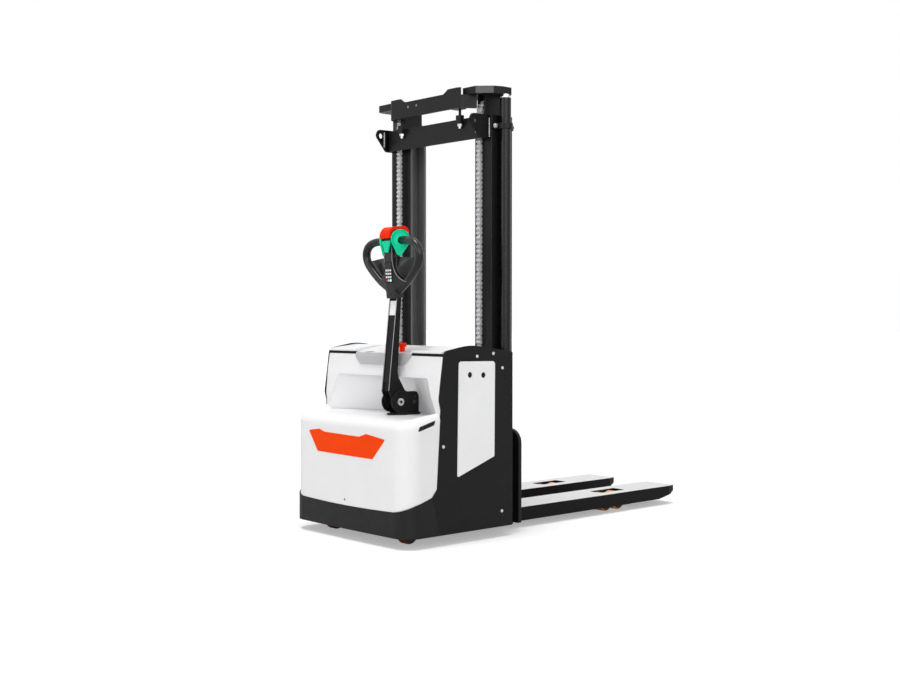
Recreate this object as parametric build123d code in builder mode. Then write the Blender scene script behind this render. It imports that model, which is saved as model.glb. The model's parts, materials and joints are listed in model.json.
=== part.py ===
from build123d import *
import os
from math import cos, pi, radians, sin, sqrt, tan

os.makedirs("parts", exist_ok=True)

# Electric pallet stacker, in millimetres: +Z up, +Y to the fork tips, +X to the operator's right.
# The origin lies on the floor under the middle of the machine.
# Lengths along Y are given from the fork face, forwards to the tips or back to the operator.

# Main sizes
FORK_LENGTH = 1150.0
BODY_LENGTH = 668.0
BODY_WIDTH = 776.0
MAST_HEIGHT = 1885.0
FACE_Y = (BODY_LENGTH - FORK_LENGTH) / 2
FRONT_Y = FACE_Y - BODY_LENGTH

# Clearances
SLIDE_GAP = 0.3
PIN_GAP = 0.05
SEAM = 0.8

# Forks
FORK_SPREAD = 570.0
FORK_WIDTH = 186.0
FORK_TOP = 90.0
FORK_DEPTH = 59.0
FORK_WALL = 8.0
FORK_PLATE = 10.0
NOSE_LENGTH = 120.0
NOSE_STEP = 32.0
NOSE_STEP_RISE = 17.0
NOSE_HEIGHT = 28.0
TIP_TAPER_LENGTH = 42.0
TIP_TAPER = 10.0
WINDOW_CENTRE = 751.0
WINDOW_SIDE_GAP = 3.0
WINDOW_LENGTH = 172.0
FORK_X = (FORK_SPREAD - FORK_WIDTH) / 2
FORK_TIP = FACE_Y + FORK_LENGTH

# Support legs and load wheels
LOAD_WHEEL_D = 84.0
LOAD_WHEEL_WIDTH = 66.0
LOAD_WHEEL_PITCH = 88.0
LOAD_AXLE_D = 20.0
LEG_WIDTH = 150.0
LEG_BOTTOM = 26.0
LEG_TOP_GAP = 4.0
LEG_WALL = 10.0
LEG_END_MARGIN = 40.0
LEG_TOP = FORK_TOP - FORK_PLATE - LEG_TOP_GAP
WHEEL_SLOT = LOAD_WHEEL_WIDTH + 2 * WINDOW_SIDE_GAP
WINDOW_Y = FACE_Y + WINDOW_CENTRE
LEG_END = WINDOW_Y + LOAD_WHEEL_PITCH / 2 + LEG_END_MARGIN
SLOT_START = WINDOW_Y - LOAD_WHEEL_PITCH / 2 - LOAD_WHEEL_D / 2 - 2 * WINDOW_SIDE_GAP

# Body plates
PLATE = 6.0
SKIRT_BOTTOM = 44.0
PLATE_REAR = FACE_Y - 80.0
HALF_WIDTH = BODY_WIDTH / 2
INNER_X = HALF_WIDTH - PLATE

# Front skirt and hood
FRONT_BOW = 6.0
SKIRT_RADIUS = 76.0
HOOD_RADIUS = 86.0
SKIRT_WALL = 5.0
SKIRT_EDGE = [(-8.0, 132.0), (0.0, 139.0), (7.0, 150.0), (24.0, 160.0), (60.0, 176.0), (139.0, 201.0), (400.0, 290.0)]
HOOD_WALL = 4.0
HOOD_INSET = 2.0
HOOD_FRONT_TOP = 500.0
HOOD_BACK_TOP = 545.0
HOOD_BACK = FACE_Y - 484.0
HOOD_EDGE_RADIUS = 42.0
BOWL_FLOOR = 515.0
BOWL_BACK = FACE_Y - 335.0
BOWL_HALF = HALF_WIDTH - 23.0
BOWL_SIDE_SLOPE = 15.0

# Upper cover, lid and tray
COVER_WALL = 5.0
COVER_TOP = 761.0
COVER_REAR = FACE_Y - 222.0
SCOOP_TOP = COVER_TOP - 89.0
SCOOP_HALF = HALF_WIDTH - 88.0
SCOOP_BACK = FACE_Y - 373.0
LID_SEAT = 12.0
LID_BOTTOM = COVER_TOP + LID_SEAT
LID_FRONT_TOP = LID_BOTTOM + 10.0
LID_APEX = LID_BOTTOM + 27.0
LID_REAR_TOP = LID_BOTTOM + 19.0
PLATE_APEX = LID_APEX + 8.0
PLATE_REAR_TOP = LID_BOTTOM + 2.0
LID_FRONT = FACE_Y - 469.0
LID_APEX_Y = FACE_Y - 318.0
LID_REAR = FACE_Y - 216.0
LID_WALL = 6.0
LID_RIM_INSET = 7.0
TRAY_HALF = 187.0
TRAY_LIP_HALF = 143.0
TRAY_THICKNESS = 8.0
TRAY_RISE = 26.0
TRAY_WALL = 5.0
TRAY_RAMP = FACE_Y - 402.0
TRAY_BACK = FACE_Y - 338.0
TRAY_LIP_BOTTOM = COVER_TOP - 42.0
TRAY_LIP = 6.0
HINGE_PIN_D = 8.0
HINGE_BARREL_D = 16.0
HINGE_X = INNER_X - 122.0
HINGE_LENGTH = 50.0
HINGE_EAR = 8.0
HINGE_DROP = 5.0
STOP_BUTTON_X = 80.0
STOP_BUTTON_Y = FACE_Y - 428.0
STOP_STEM_D = 24.0
STOP_CAP_D = 38.0
STOP_CAP_HEIGHT = 16.0
STOP_RISE = 27.0
STOP_TRAVEL = 8.0

# Mast
COLUMN_FRONT = FACE_Y - 149.0
COLUMN_BACK = FACE_Y - 28.0
CYLINDER_D = 48.0
CYLINDER_PLATE_GAP = 3.0
CYLINDER_COLUMN_GAP = 1.0
CYLINDER_X = INNER_X - CYLINDER_PLATE_GAP - CYLINDER_D / 2
COLUMN_OUT = CYLINDER_X - CYLINDER_D / 2 - CYLINDER_COLUMN_GAP
COLUMN_WIDTH = 39.0
COLUMN_IN = COLUMN_OUT - COLUMN_WIDTH
COLUMN_WEB = 10.0
COLUMN_FLANGE = 12.0
COLUMN_TOP = MAST_HEIGHT - 116.0
NEST_GAP = 3.0
INNER_SIDE_GAP = 8.0
INNER_WIDTH = 98.0
INNER_WEB_DEPTH = 48.0
INNER_REACH = COLUMN_OUT - COLUMN_WEB - INNER_SIDE_GAP
INNER_FACE = INNER_REACH - INNER_WIDTH
INNER_WEB_X = INNER_REACH - INNER_WEB_DEPTH
INNER_WEB = 10.0
INNER_FLANGE = 12.0
INNER_BOTTOM = 62.0
INNER_FRONT = COLUMN_FRONT + COLUMN_FLANGE + NEST_GAP
INNER_BACK = COLUMN_BACK - COLUMN_FLANGE - NEST_GAP
CAP_THICKNESS = 30.0
CAP_BOTTOM = MAST_HEIGHT - CAP_THICKNESS

# Chains and pulleys
CHAIN_X = INNER_WEB_X + 1.0
CHAIN_WIDTH = 26.0
CHAIN_THICKNESS = 18.0
CHAIN_PITCH = 19.05
CHAIN_WAIST = 2.5
CHAIN_FRONT = FACE_Y - 158.0
CHAIN_BACK = FACE_Y - 33.0
CHAIN_ANCHOR_Z = 620.0
PULLEY_WIDTH = 29.0
PULLEY_AXLE_D = 25.0
PULLEY_CAP_GAP = 6.0
PULLEY_Y = (CHAIN_FRONT + CHAIN_BACK) / 2
PULLEY_PITCH_R = (CHAIN_BACK - CHAIN_FRONT) / 2
PULLEY_R = PULLEY_PITCH_R - CHAIN_THICKNESS / 2 - SLIDE_GAP
PULLEY_Z = CAP_BOTTOM - PULLEY_CAP_GAP - PULLEY_PITCH_R - CHAIN_THICKNESS / 2
YOKE_BOTTOM = PULLEY_Z - PULLEY_PITCH_R - CHAIN_THICKNESS / 2

# Head bars, lugs and stops
BAR = 10.0
OUTER_BAR_FRONT = FACE_Y - 192.0
OUTER_BAR_HALF = COLUMN_IN + 7.0
OUTER_BAR_TOP = COLUMN_TOP - 8.0
OUTER_BAR_HEIGHT = 91.0
OUTER_BAR_BOTTOM = OUTER_BAR_TOP - OUTER_BAR_HEIGHT
INNER_BAR_FRONT = FACE_Y - 242.0
INNER_BAR_HALF = INNER_FACE + 12.0
INNER_BAR_DIP = 18.0
INNER_BAR_TOP = MAST_HEIGHT - INNER_BAR_DIP
INNER_BAR_HEIGHT = 68.0
INNER_BAR_BOTTOM = INNER_BAR_TOP - INNER_BAR_HEIGHT
INNER_BAR_SPLAY = 34.0
INNER_BAR_END = FACE_Y - 176.0
INNER_BAR_EAR = INNER_BAR_HALF - 66.0
INNER_BAR_MIDDLE = INNER_BAR_EAR - 30.0
STOP_X = INNER_BAR_HALF - 33.0
STOP_WIDTH = 28.0
STOP_DEPTH = 22.0
STOP_BLOCK_TOP = OUTER_BAR_TOP + 14.0
STOP_BLOCK_HEIGHT = 36.0
STOP_BLOCK_BOTTOM = STOP_BLOCK_TOP - STOP_BLOCK_HEIGHT
STOP_BOLT_D = 12.0
STOP_NUT_D = 21.6
STOP_NUT_HEIGHT = 10.0
LUG_X = COLUMN_IN + 20.0
LUG_THICKNESS = 12.0
LUG_HOLE_D = 26.0
LUG_HOLE_Y = FACE_Y - 231.0
LUG_HOLE_Z = OUTER_BAR_TOP - 21.0
LUG_REACH = 27.0

# Lift cylinders
CYLINDER_Y = FACE_Y - 92.0
CYLINDER_BORE = 40.0
ROD_SHOWING = 16.0
CYLINDER_TOP = CAP_BOTTOM - ROD_SHOWING
CYLINDER_FLOOR = 20.0
GLAND_DEPTH = 40.0
ROD_D = 32.0
PISTON_HEIGHT = 40.0
CLAMP_Z = COLUMN_TOP - 47.0
CLAMP_HEIGHT = 24.0
CLAMP_WALL = 8.0
CLAMP_LENGTH = 110.0

# Carriage
CARRIAGE_PLATE = 16.0
CARRIAGE_HALF = INNER_X - 20.0
CARRIAGE_TOP = 442.0
CARRIAGE_CORNER = 60.0
CARRIAGE_WING_BOTTOM = 40.0
CARRIAGE_WINDOW_BOTTOM = 190.0
CARRIAGE_WINDOW_TOP = 380.0
ARM_X = INNER_FACE - 22.0
ARM_THICKNESS = 12.0
CARRIAGE_WINDOW_HALF = ARM_X - 22.0
ARM_FRONT = FACE_Y - 121.0
ARM_BOTTOM = 95.0
ROLLER_WIDTH = 26.0
ROLLER_AXLE_D = 20.0
ROLLER_LOW_Z = 135.0
ROLLER_HIGH_Z = 395.0
ROLLER_Y = (INNER_FRONT + INNER_BACK) / 2
ROLLER_R = (INNER_BACK - INNER_FRONT) / 2 - INNER_FLANGE - SLIDE_GAP
GUIDE_ROLLER_Z = 120.0
GUIDE_ROLLER_WIDTH = 30.0
GUIDE_ROLLER_Y = (COLUMN_FRONT + COLUMN_BACK) / 2
GUIDE_ROLLER_R = (COLUMN_BACK - COLUMN_FRONT) / 2 - COLUMN_FLANGE - SLIDE_GAP
GUIDE_ROOM = 7.0

# Base frame
FOOT_TOP = 56.0
FOOT_WING = 10.0
FOOT_FRONT = COLUMN_FRONT - 11.0
FLOOR_PLATE = 6.0
BULKHEAD_Y = FACE_Y - 346.0
BULKHEAD_TOP = 480.0
DECK_Z = 262.0
DECK = 12.0
DECK_FRONT = FRONT_Y + 40.0
DECK_FRONT_HALF = INNER_X - 82.0

# Drive unit
DRIVE_Y = FACE_Y - 480.0
DRIVE_WHEEL_D = 230.0
DRIVE_WHEEL_WIDTH = 76.0
DRIVE_AXLE_D = 30.0
SLEW_D = 170.0
SLEW_HEIGHT = 16.0
NECK_D = 110.0
DECK_HOLE_D = 130.0
MOTOR_D = 140.0
MOTOR_HEIGHT = 144.0
BRAKE_D = 110.0
BRAKE_HEIGHT = 16.0
GEAR_CASE = 38.0
GEAR_CASE_HALF = 60.0

# Casters
CASTER_X = INNER_X - 137.0
CASTER_Y = FACE_Y - 560.0
CASTER_D = 90.0
CASTER_WIDTH = 38.0
CASTER_TRAIL = 22.0
CASTER_STEM_D = 24.0
CASTER_SLEEVE_D = 50.0
CASTER_CROWN_TOP = 118.0
CASTER_CROWN = 10.0
CASTER_CHEEK = 6.0
CASTER_AXLE_D = 14.0
CASTER_SIDE_GAP = 1.0

# Steering column and its chain
TILLER_X = 111.0
TILLER_Y = FACE_Y - 512.0
COLUMN_SHAFT_D = 34.0
COLUMN_SHAFT_BOTTOM = 300.0
POST_D = 56.0
POST_TOP = 440.0
SPROCKET_Z = 446.0
SPROCKET = 10.0
SPROCKET_R = 36.0
STEER_CHAIN = 9.0
STEER_CHAIN_GAP = 0.5
DRIVE_SHAFT_D = 30.0

# Tiller base and arm
BASE_PLATE = 8.0
BASE_PLATE_HALF = 46.0
BASE_PLATE_FRONT = 14.0
BASE_PLATE_BACK = 24.0
BASE_LOBE_R = 19.0
PIN_Y = FACE_Y - 493.0
PIN_Z = 570.0
PIN_D = 16.0
PIN_HEAD_D = 30.0
PIN_HEAD = 6.0
EAR_INSIDE = 29.0
EAR = 6.0
EAR_R = 44.0
EAR_BACK = 100.0
EAR_TOP = 42.0
EAR_CORNER = 25.0
ARM_HALF = 25.0
ARM_SHEET = 4.0
ARM_LENGTH = 430.0
ARM_FOOT_FRONT = 52.0
ARM_FOOT_RISE = 45.0
ARM_TOP_FRONT = 8.0
ARM_TOP_BACK = 14.0
ARM_WAIST_Z = 110.0
ARM_FLARE = 36.0
ARM_BUSH_D = 30.0
ARM_COVER = 5.0
HEAD_TILT = -6.5

# Control head, in its own plane: across, up along the arm, and out towards the operator
HEAD_NECK_HALF = 26.0
HEAD_HALF = 176.0
HEAD_BODY_DEPTH = 30.0
HEAD_BODY_FRONT = 8.0
HEAD_LOOP_R = 17.0
LOOP_AXIS_V = 236.0
LOOP_SHOULDER_V = 182.0
LOOP_W = -6.0
HEAD_BODY_TOP = 158.0
STEM_HALF = 27.0
STEM_FRONT = 26.0
STEM_TOP_FRONT = 14.0
STEM_BACK = 24.0
STEM_FOOT = 0.0
STEM_KNEE = 60.0
STEM_CREST = 246.0
STEM_TOP = 262.0
WING_AXIS_W = -16.0
WING_SWEEP = radians(28.0)
WING_R = 40.0
WING_AHEAD = 6.0
WING_RISE = 5.0
WING_GAP = 4.0
WING_THICK = 10.0
WING_TIP_OUT = 15.0
WING_TIP_DOWN = 62.0
WING_TIP_R = 13.0
SAFETY_FRONT = 29.0
SAFETY_BACK = -80.0
SAFETY_TOP = 294.0
SAFETY_FRONT_END = 248.0
SAFETY_BACK_END = 262.0
SAFETY_WALL = 13.0
SAFETY_FRONT_R = 38.0
SAFETY_BACK_R = 28.0
SAFETY_HALF = 30.0
SAFETY_POST_D = 14.0
SAFETY_POST = 20.0
SAFETY_TRAVEL = 5.0
HORN_HALF = 28.0
HORN_TIP_HALF = 8.0
HORN_TOP = 178.0
HORN_BOTTOM = 130.0
HORN_THICKNESS = 7.0
HORN_TRAVEL = 3.0
HORN_PLUNGER_D = 10.0
HORN_PLUNGER = 18.0
KEYPAD_HALF = 25.0
KEYPAD_BOTTOM = 4.0
KEYPAD_TOP = 92.0
KEYPAD = 2.0
ROCKER_R = 16.0
ROCKER_HALF = 12.0
ROCKER_V = 150.0
ROCKER_NUB = 8.0
ROCKER_GAP = 0.4

# Inner units
BATTERY_HALF = INNER_X - 72.0
BATTERY_FRONT = FACE_Y - 328.0
BATTERY_REAR = FACE_Y - 182.0
BATTERY_HEIGHT = 540.0
UNIT_SIDE_GAP = 32.0
TANK_SIZE = (170.0, 130.0, 110.0)
PUMP_X = INNER_X - UNIT_SIDE_GAP - TANK_SIZE[0] / 2
PUMP_Y = FACE_Y - 440.0
PUMP_MOTOR_D = 90.0
PUMP_MOTOR_HEIGHT = 90.0
CONTROLLER_SIZE = (130.0, 110.0, 70.0)
CONTROLLER_X = INNER_X - UNIT_SIDE_GAP - CONTROLLER_SIZE[0] / 2
CONTROLLER_Y = FACE_Y - 415.0
CONTROLLER_FINS = 6

# Plates on the flanks and their screws, from the fork face and the floor
BADGE = 2.5
BADGE_HOLE_D = 24.0
SCREW_HEAD_D = 13.0
SCREW_HEAD = 3.0
SCREW_D = 6.0
VENT_DEPTH = 2.0
PANEL_DEPTH = 1.9


def block(x0, x1, y0, y1, z0, z1, mode=Mode.ADD):
    """Adds or cuts a box between two corners."""
    with Locations(((x0 + x1) / 2, (y0 + y1) / 2, (z0 + z1) / 2)):
        Box(x1 - x0, y1 - y0, z1 - z0, mode=mode)


def bar_x(x0, x1, y, z, r, mode=Mode.ADD):
    """Adds or cuts a round bar along X."""
    with Locations(Location(((x0 + x1) / 2, y, z), (0, 90, 0))):
        Cylinder(r, abs(x1 - x0), mode=mode)


def bar_z(x, y, z0, z1, r, mode=Mode.ADD):
    """Adds or cuts a round bar along Z."""
    with Locations((x, y, (z0 + z1) / 2)):
        Cylinder(r, z1 - z0, mode=mode)


def prism(plane, points, depth, radius):
    """A prism on a plane, with sharp corners or corners rounded by one radius or a list."""
    with BuildPart() as form:
        with BuildSketch(plane):
            with BuildLine():
                if radius:
                    FilletPolyline(*points, radius=radius, close=True)
                else:
                    Polyline(*points, close=True)
            make_face()
        extrude(amount=depth)
    return form.part


def slab_yz(points, x0, x1, mode=Mode.ADD, radius=0.0):
    """Adds, cuts or keeps a prism along X with a (Y, Z) outline, its corners rounded by one radius or a list."""
    add(prism(Plane.YZ.offset(x0), points, x1 - x0, radius), mode=mode)


def save(piece, name):
    """Labels a finished piece and writes its file."""
    piece.part.label = name
    export_step(piece.part, f"parts/{name}.step")


def side_name(side):
    return "left" if side < 0 else "right"


# Forks: folded channels, open below over the support legs, with a window over the load wheels
with BuildPart() as forks:
    for side in (-1, 1):
        x = side * FORK_X
        half = FORK_WIDTH / 2
        with BuildSketch(Plane.XY.offset(FORK_TOP - FORK_DEPTH)):
            with BuildLine():
                Polyline(
                    (x - half, FACE_Y),
                    (x + half, FACE_Y),
                    (x + half, FORK_TIP - TIP_TAPER_LENGTH),
                    (x + half - TIP_TAPER, FORK_TIP),
                    (x - half + TIP_TAPER, FORK_TIP),
                    (x - half, FORK_TIP - TIP_TAPER_LENGTH),
                    close=True,
                )
            make_face()
        extrude(amount=FORK_DEPTH)
        inside = half - FORK_WALL
        cavity_end = FORK_TIP - NOSE_LENGTH - 2 * FORK_PLATE
        block(x - inside, x + inside, FACE_Y, cavity_end, FORK_TOP - FORK_DEPTH, FORK_TOP - FORK_PLATE,
              Mode.SUBTRACT)
        nose = [
            (FORK_TIP - NOSE_LENGTH, FORK_TOP - FORK_DEPTH),
            (FORK_TIP - NOSE_STEP, FORK_TOP - FORK_DEPTH + NOSE_STEP_RISE),
            (FORK_TIP, FORK_TOP - NOSE_HEIGHT),
            (FORK_TIP, FORK_TOP - FORK_DEPTH),
        ]
        slab_yz(nose, x - half, x + half, Mode.SUBTRACT)
        block(x - WHEEL_SLOT / 2, x + WHEEL_SLOT / 2, WINDOW_Y - WINDOW_LENGTH / 2, WINDOW_Y + WINDOW_LENGTH / 2,
              FORK_TOP - FORK_PLATE, FORK_TOP, Mode.SUBTRACT)
save(forks, "forks")

# Support legs: channels under the forks, each ending in two prongs that hold the load axles
with BuildPart() as support_legs:
    for side in (-1, 1):
        x = side * FORK_X
        half = LEG_WIDTH / 2
        block(x - half, x + half, COLUMN_BACK, LEG_END, LEG_BOTTOM, LEG_TOP)
        block(x - half + LEG_WALL, x + half - LEG_WALL, COLUMN_BACK + LEG_WALL, SLOT_START - 2 * LEG_WALL,
              LEG_BOTTOM, LEG_TOP - LEG_WALL, Mode.SUBTRACT)
        block(x - WHEEL_SLOT / 2, x + WHEEL_SLOT / 2, SLOT_START, LEG_END, LEG_BOTTOM, LEG_TOP, Mode.SUBTRACT)
        for end in (-1, 1):
            bar_x(x - half, x + half, WINDOW_Y + end * LOAD_WHEEL_PITCH / 2, LOAD_WHEEL_D / 2, LOAD_AXLE_D / 2)
save(support_legs, "support_legs")

# Load wheels: two in line under each fork
for side in (-1, 1):
    for end, place in ((-1, "mast"), (1, "tip")):
        with BuildPart() as load_wheel:
            wheel_y = WINDOW_Y + end * LOAD_WHEEL_PITCH / 2
            x0 = side * FORK_X - LOAD_WHEEL_WIDTH / 2
            bar_x(x0, x0 + LOAD_WHEEL_WIDTH, wheel_y, LOAD_WHEEL_D / 2, LOAD_WHEEL_D / 2)
            fillet(load_wheel.edges().filter_by(GeomType.CIRCLE), 5.0)
            bar_x(x0, x0 + LOAD_WHEEL_WIDTH, wheel_y, LOAD_WHEEL_D / 2, LOAD_AXLE_D / 2 + PIN_GAP, Mode.SUBTRACT)
        save(load_wheel, f"load_wheel_{side_name(side)}_{place}")

# Base frame: mast foot beam, battery floor, bulkhead and drive deck with its post and caster sleeves
with BuildPart() as base_frame:
    block(-COLUMN_IN, COLUMN_IN, FOOT_FRONT, COLUMN_BACK, LEG_BOTTOM, FOOT_TOP)
    block(-COLUMN_OUT, COLUMN_OUT, FOOT_FRONT, COLUMN_BACK, FOOT_TOP - FOOT_WING, FOOT_TOP)
    block(-INNER_X, INNER_X, FOOT_FRONT, PLATE_REAR + FOOT_WING, FOOT_TOP - FOOT_WING, FOOT_TOP)
    block(-INNER_X, INNER_X, BULKHEAD_Y, FOOT_FRONT, FOOT_TOP - FLOOR_PLATE, FOOT_TOP)
    block(-INNER_X, INNER_X, BULKHEAD_Y, BULKHEAD_Y + FLOOR_PLATE, FOOT_TOP - FLOOR_PLATE, BULKHEAD_TOP)
    with BuildSketch(Plane.XY.offset(DECK_Z)):
        with BuildLine():
            Polyline(
                (-INNER_X, BULKHEAD_Y),
                (INNER_X, BULKHEAD_Y),
                (INNER_X, HOOD_BACK + 2 * PLATE),
                (DECK_FRONT_HALF, DECK_FRONT),
                (-DECK_FRONT_HALF, DECK_FRONT),
                (-INNER_X, HOOD_BACK + 2 * PLATE),
                close=True,
            )
        make_face()
    extrude(amount=DECK)
    bar_z(0, DRIVE_Y, DECK_Z, DECK_Z + DECK, DECK_HOLE_D / 2, Mode.SUBTRACT)
    bar_z(TILLER_X, TILLER_Y, DECK_Z, POST_TOP, POST_D / 2)
    bar_z(TILLER_X, TILLER_Y, DECK_Z, POST_TOP, COLUMN_SHAFT_D / 2 + PIN_GAP, Mode.SUBTRACT)
    for side in (-1, 1):
        sleeve_bottom = CASTER_CROWN_TOP + SLIDE_GAP
        bar_z(side * CASTER_X, CASTER_Y, sleeve_bottom, DECK_Z, CASTER_SLEEVE_D / 2)
        bar_z(side * CASTER_X, CASTER_Y, sleeve_bottom, DECK_Z + DECK, CASTER_STEM_D / 2 + PIN_GAP, Mode.SUBTRACT)
save(base_frame, "base_frame")

# Side plates of the body, cut to the profile of the covers
PLATE_OUTLINE = [
    (PLATE_REAR, SKIRT_BOTTOM),
    (PLATE_REAR, PLATE_REAR_TOP),
    (FACE_Y - 318.0, PLATE_APEX),
    (FACE_Y - 464.0, PLATE_APEX - 25.0),
    (FACE_Y - 491.0, 590.0),
    (FACE_Y - 481.0, 548.0),
    (FACE_Y - 502.0, 232.0),
    (FACE_Y - 529.0, 200.0),
    (FACE_Y - 487.0, SKIRT_BOTTOM),
]
PLATE_CORNERS = [6.0, 5.0, 300.0, 24.0, 60.0, 20.0, 12.0, 5.0, 3.0]
SCREW_PLACES = [
    (FACE_Y - 286.0, PLATE_APEX - 48.0),
    (FACE_Y - 142.0, PLATE_REAR_TOP - 66.0),
    (FACE_Y - 194.0, PLATE_REAR_TOP - 5.0),
    (FACE_Y - 470.0, 401.0),
    (FACE_Y - 144.0, 110.0),
]
with BuildPart() as side_plates:
    for side in (-1, 1):
        slab_yz(PLATE_OUTLINE, side * INNER_X, side * HALF_WIDTH, radius=PLATE_CORNERS)
        for screw_y, screw_z in SCREW_PLACES:
            bar_x(side * INNER_X, side * HALF_WIDTH, screw_y, screw_z, SCREW_D / 2 + PIN_GAP, Mode.SUBTRACT)
save(side_plates, "side_plates")

with BuildPart() as panel_screws:
    for side in (-1, 1):
        for screw_y, screw_z in SCREW_PLACES:
            bar_x(side * INNER_X, side * HALF_WIDTH, screw_y, screw_z, SCREW_D / 2)
            bar_x(side * HALF_WIDTH, side * (HALF_WIDTH + SCREW_HEAD), screw_y, screw_z, SCREW_HEAD_D / 2)
save(panel_screws, "panel_screws")

# Plain pale plates on both flanks, with two holes at the top
BADGE_OUTLINE = [
    (FACE_Y - 387.0, 741.0),
    (FACE_Y - 185.0, 738.0),
    (FACE_Y - 188.0, 343.0),
    (FACE_Y - 395.0, 271.0),
]
BADGE_CORNERS = [14.0, 14.0, 6.0, 6.0]
BADGE_HOLES = [(FACE_Y - 326.0, 685.0), (FACE_Y - 251.0, 682.0)]
with BuildPart() as badge_plates:
    for side in (-1, 1):
        slab_yz(BADGE_OUTLINE, side * HALF_WIDTH, side * (HALF_WIDTH + BADGE), radius=BADGE_CORNERS)
        for hole_y, hole_z in BADGE_HOLES:
            bar_x(side * HALF_WIDTH, side * (HALF_WIDTH + BADGE), hole_y, hole_z, BADGE_HOLE_D / 2, Mode.SUBTRACT)
save(badge_plates, "badge_plates")


def front_prism(inset, radius, rear, z0, z1):
    """A prism whose plan has the body's bowed front and round front corners, drawn in by an inset."""
    half = HALF_WIDTH - inset
    with BuildPart() as form:
        with BuildSketch(Plane.XY.offset(z0)) as plan:
            with BuildLine():
                Polyline((half, FRONT_Y + FRONT_BOW + inset), (half, rear), (-half, rear),
                         (-half, FRONT_Y + FRONT_BOW + inset))
                ThreePointArc((-half, FRONT_Y + FRONT_BOW + inset), (0, FRONT_Y + inset),
                              (half, FRONT_Y + FRONT_BOW + inset))
            make_face()
            fillet(plan.vertices().group_by(Axis.Y)[0], radius - inset)
        extrude(amount=z1 - z0)
    return form.part


def edge_points(rear):
    """The rising joint between the skirt and the hood, seen from the side, up to a rear end."""
    points = [(FRONT_Y + y, z) for y, z in SKIRT_EDGE]
    kept = [point for point in points[:-1] if point[0] < rear]
    after = points[len(kept)]
    before = kept[-1]
    share = (rear - before[0]) / (after[0] - before[0])
    return kept + [(rear, before[1] + share * (after[1] - before[1]))]


def grown_outline(points, grow_y):
    """The side plate's outline with its front edge moved towards the operator by a seam."""
    return [(y - grow_y if y < FACE_Y - 400.0 else y, z) for y, z in points]


# Skirt: dark steel wrap under the hood, ending at the side plates
SKIRT_REAR_TOP = PLATE_OUTLINE[7][0]
with BuildPart() as skirt:
    add(front_prism(0.0, SKIRT_RADIUS, PLATE_REAR, SKIRT_BOTTOM, HOOD_FRONT_TOP))
    add(front_prism(SKIRT_WALL, SKIRT_RADIUS, PLATE_REAR, SKIRT_BOTTOM, HOOD_FRONT_TOP), mode=Mode.SUBTRACT)
    joint_front = FRONT_Y + SKIRT_EDGE[0][0]
    skirt_side = [
        (PLATE_OUTLINE[8][0] - SEAM, SKIRT_BOTTOM),
        (joint_front, SKIRT_BOTTOM),
    ]
    skirt_side += edge_points(SKIRT_REAR_TOP - SEAM)
    slab_yz(skirt_side, -BODY_WIDTH, BODY_WIDTH, Mode.INTERSECT)
save(skirt, "skirt")


def arc_loft(levels):
    """A loft through plans that each have an arc behind, bulging away from the operator, and straight sides."""
    with BuildPart() as form:
        for z, half, shoulder, back in levels:
            with BuildSketch(Plane.XY.offset(z)):
                with BuildLine():
                    Polyline((half, shoulder), (half, FRONT_Y), (-half, FRONT_Y), (-half, shoulder))
                    ThreePointArc((-half, shoulder), (0, back), (half, shoulder))
                make_face()
        loft(ruled=True)
    return form.part


def scoop(grow):
    """The hollow in front of the upper cover where the tiller base swings, made larger by a wall."""
    low = (BOWL_FLOOR - SEAM, BOWL_HALF + grow, HOOD_BACK, BOWL_BACK + grow)
    high = (SCOOP_TOP + grow, SCOOP_HALF + grow, FACE_Y - 478.0, SCOOP_BACK + grow)
    return arc_loft([low, high])


def hood_body(inset):
    """The hood's outer form drawn in by a wall: sloped top with round edges and a bowl for the tiller base."""
    slope = [
        (FRONT_Y - HOOD_WALL, 0.0),
        (FRONT_Y - HOOD_WALL, HOOD_FRONT_TOP - inset),
        (HOOD_BACK, HOOD_BACK_TOP - inset),
        (HOOD_BACK, BOWL_FLOOR - inset),
        (BOWL_BACK, BOWL_FLOOR - inset),
        (BOWL_BACK, 0.0),
    ]
    with BuildPart() as form:
        add(front_prism(HOOD_INSET + inset, HOOD_RADIUS, BOWL_BACK, 0.0, HOOD_BACK_TOP))
        slab_yz(slope, -BODY_WIDTH, BODY_WIDTH, Mode.INTERSECT)
        rim = form.faces().filter_by(lambda f: f.normal_at().Z > 0.5 and f.center().Z > BOWL_FLOOR - inset - SEAM)
        top = rim.sort_by(Axis.Y)[0]
        edges = top.edges().filter_by(lambda e: e.center().Y < HOOD_BACK - SEAM)
        fillet(edges, HOOD_EDGE_RADIUS - inset)
        bowl_low = BOWL_HALF - BOWL_SIDE_SLOPE + inset
        bowl_high = BOWL_HALF + BOWL_SIDE_SLOPE + inset
        low = (BOWL_FLOOR - inset, bowl_low, HOOD_BACK + SEAM, BOWL_BACK)
        high = (HOOD_BACK_TOP + SEAM, bowl_high, HOOD_BACK + SEAM, BOWL_BACK)
        add(arc_loft([low, high]), mode=Mode.SUBTRACT)
    return form.part


VENT_OUTLINE = [
    (FACE_Y - 600.0, 466.0),
    (FACE_Y - 590.0, 487.0),
    (FACE_Y - 504.0, 510.0),
    (FACE_Y - 516.0, 489.0),
]

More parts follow.
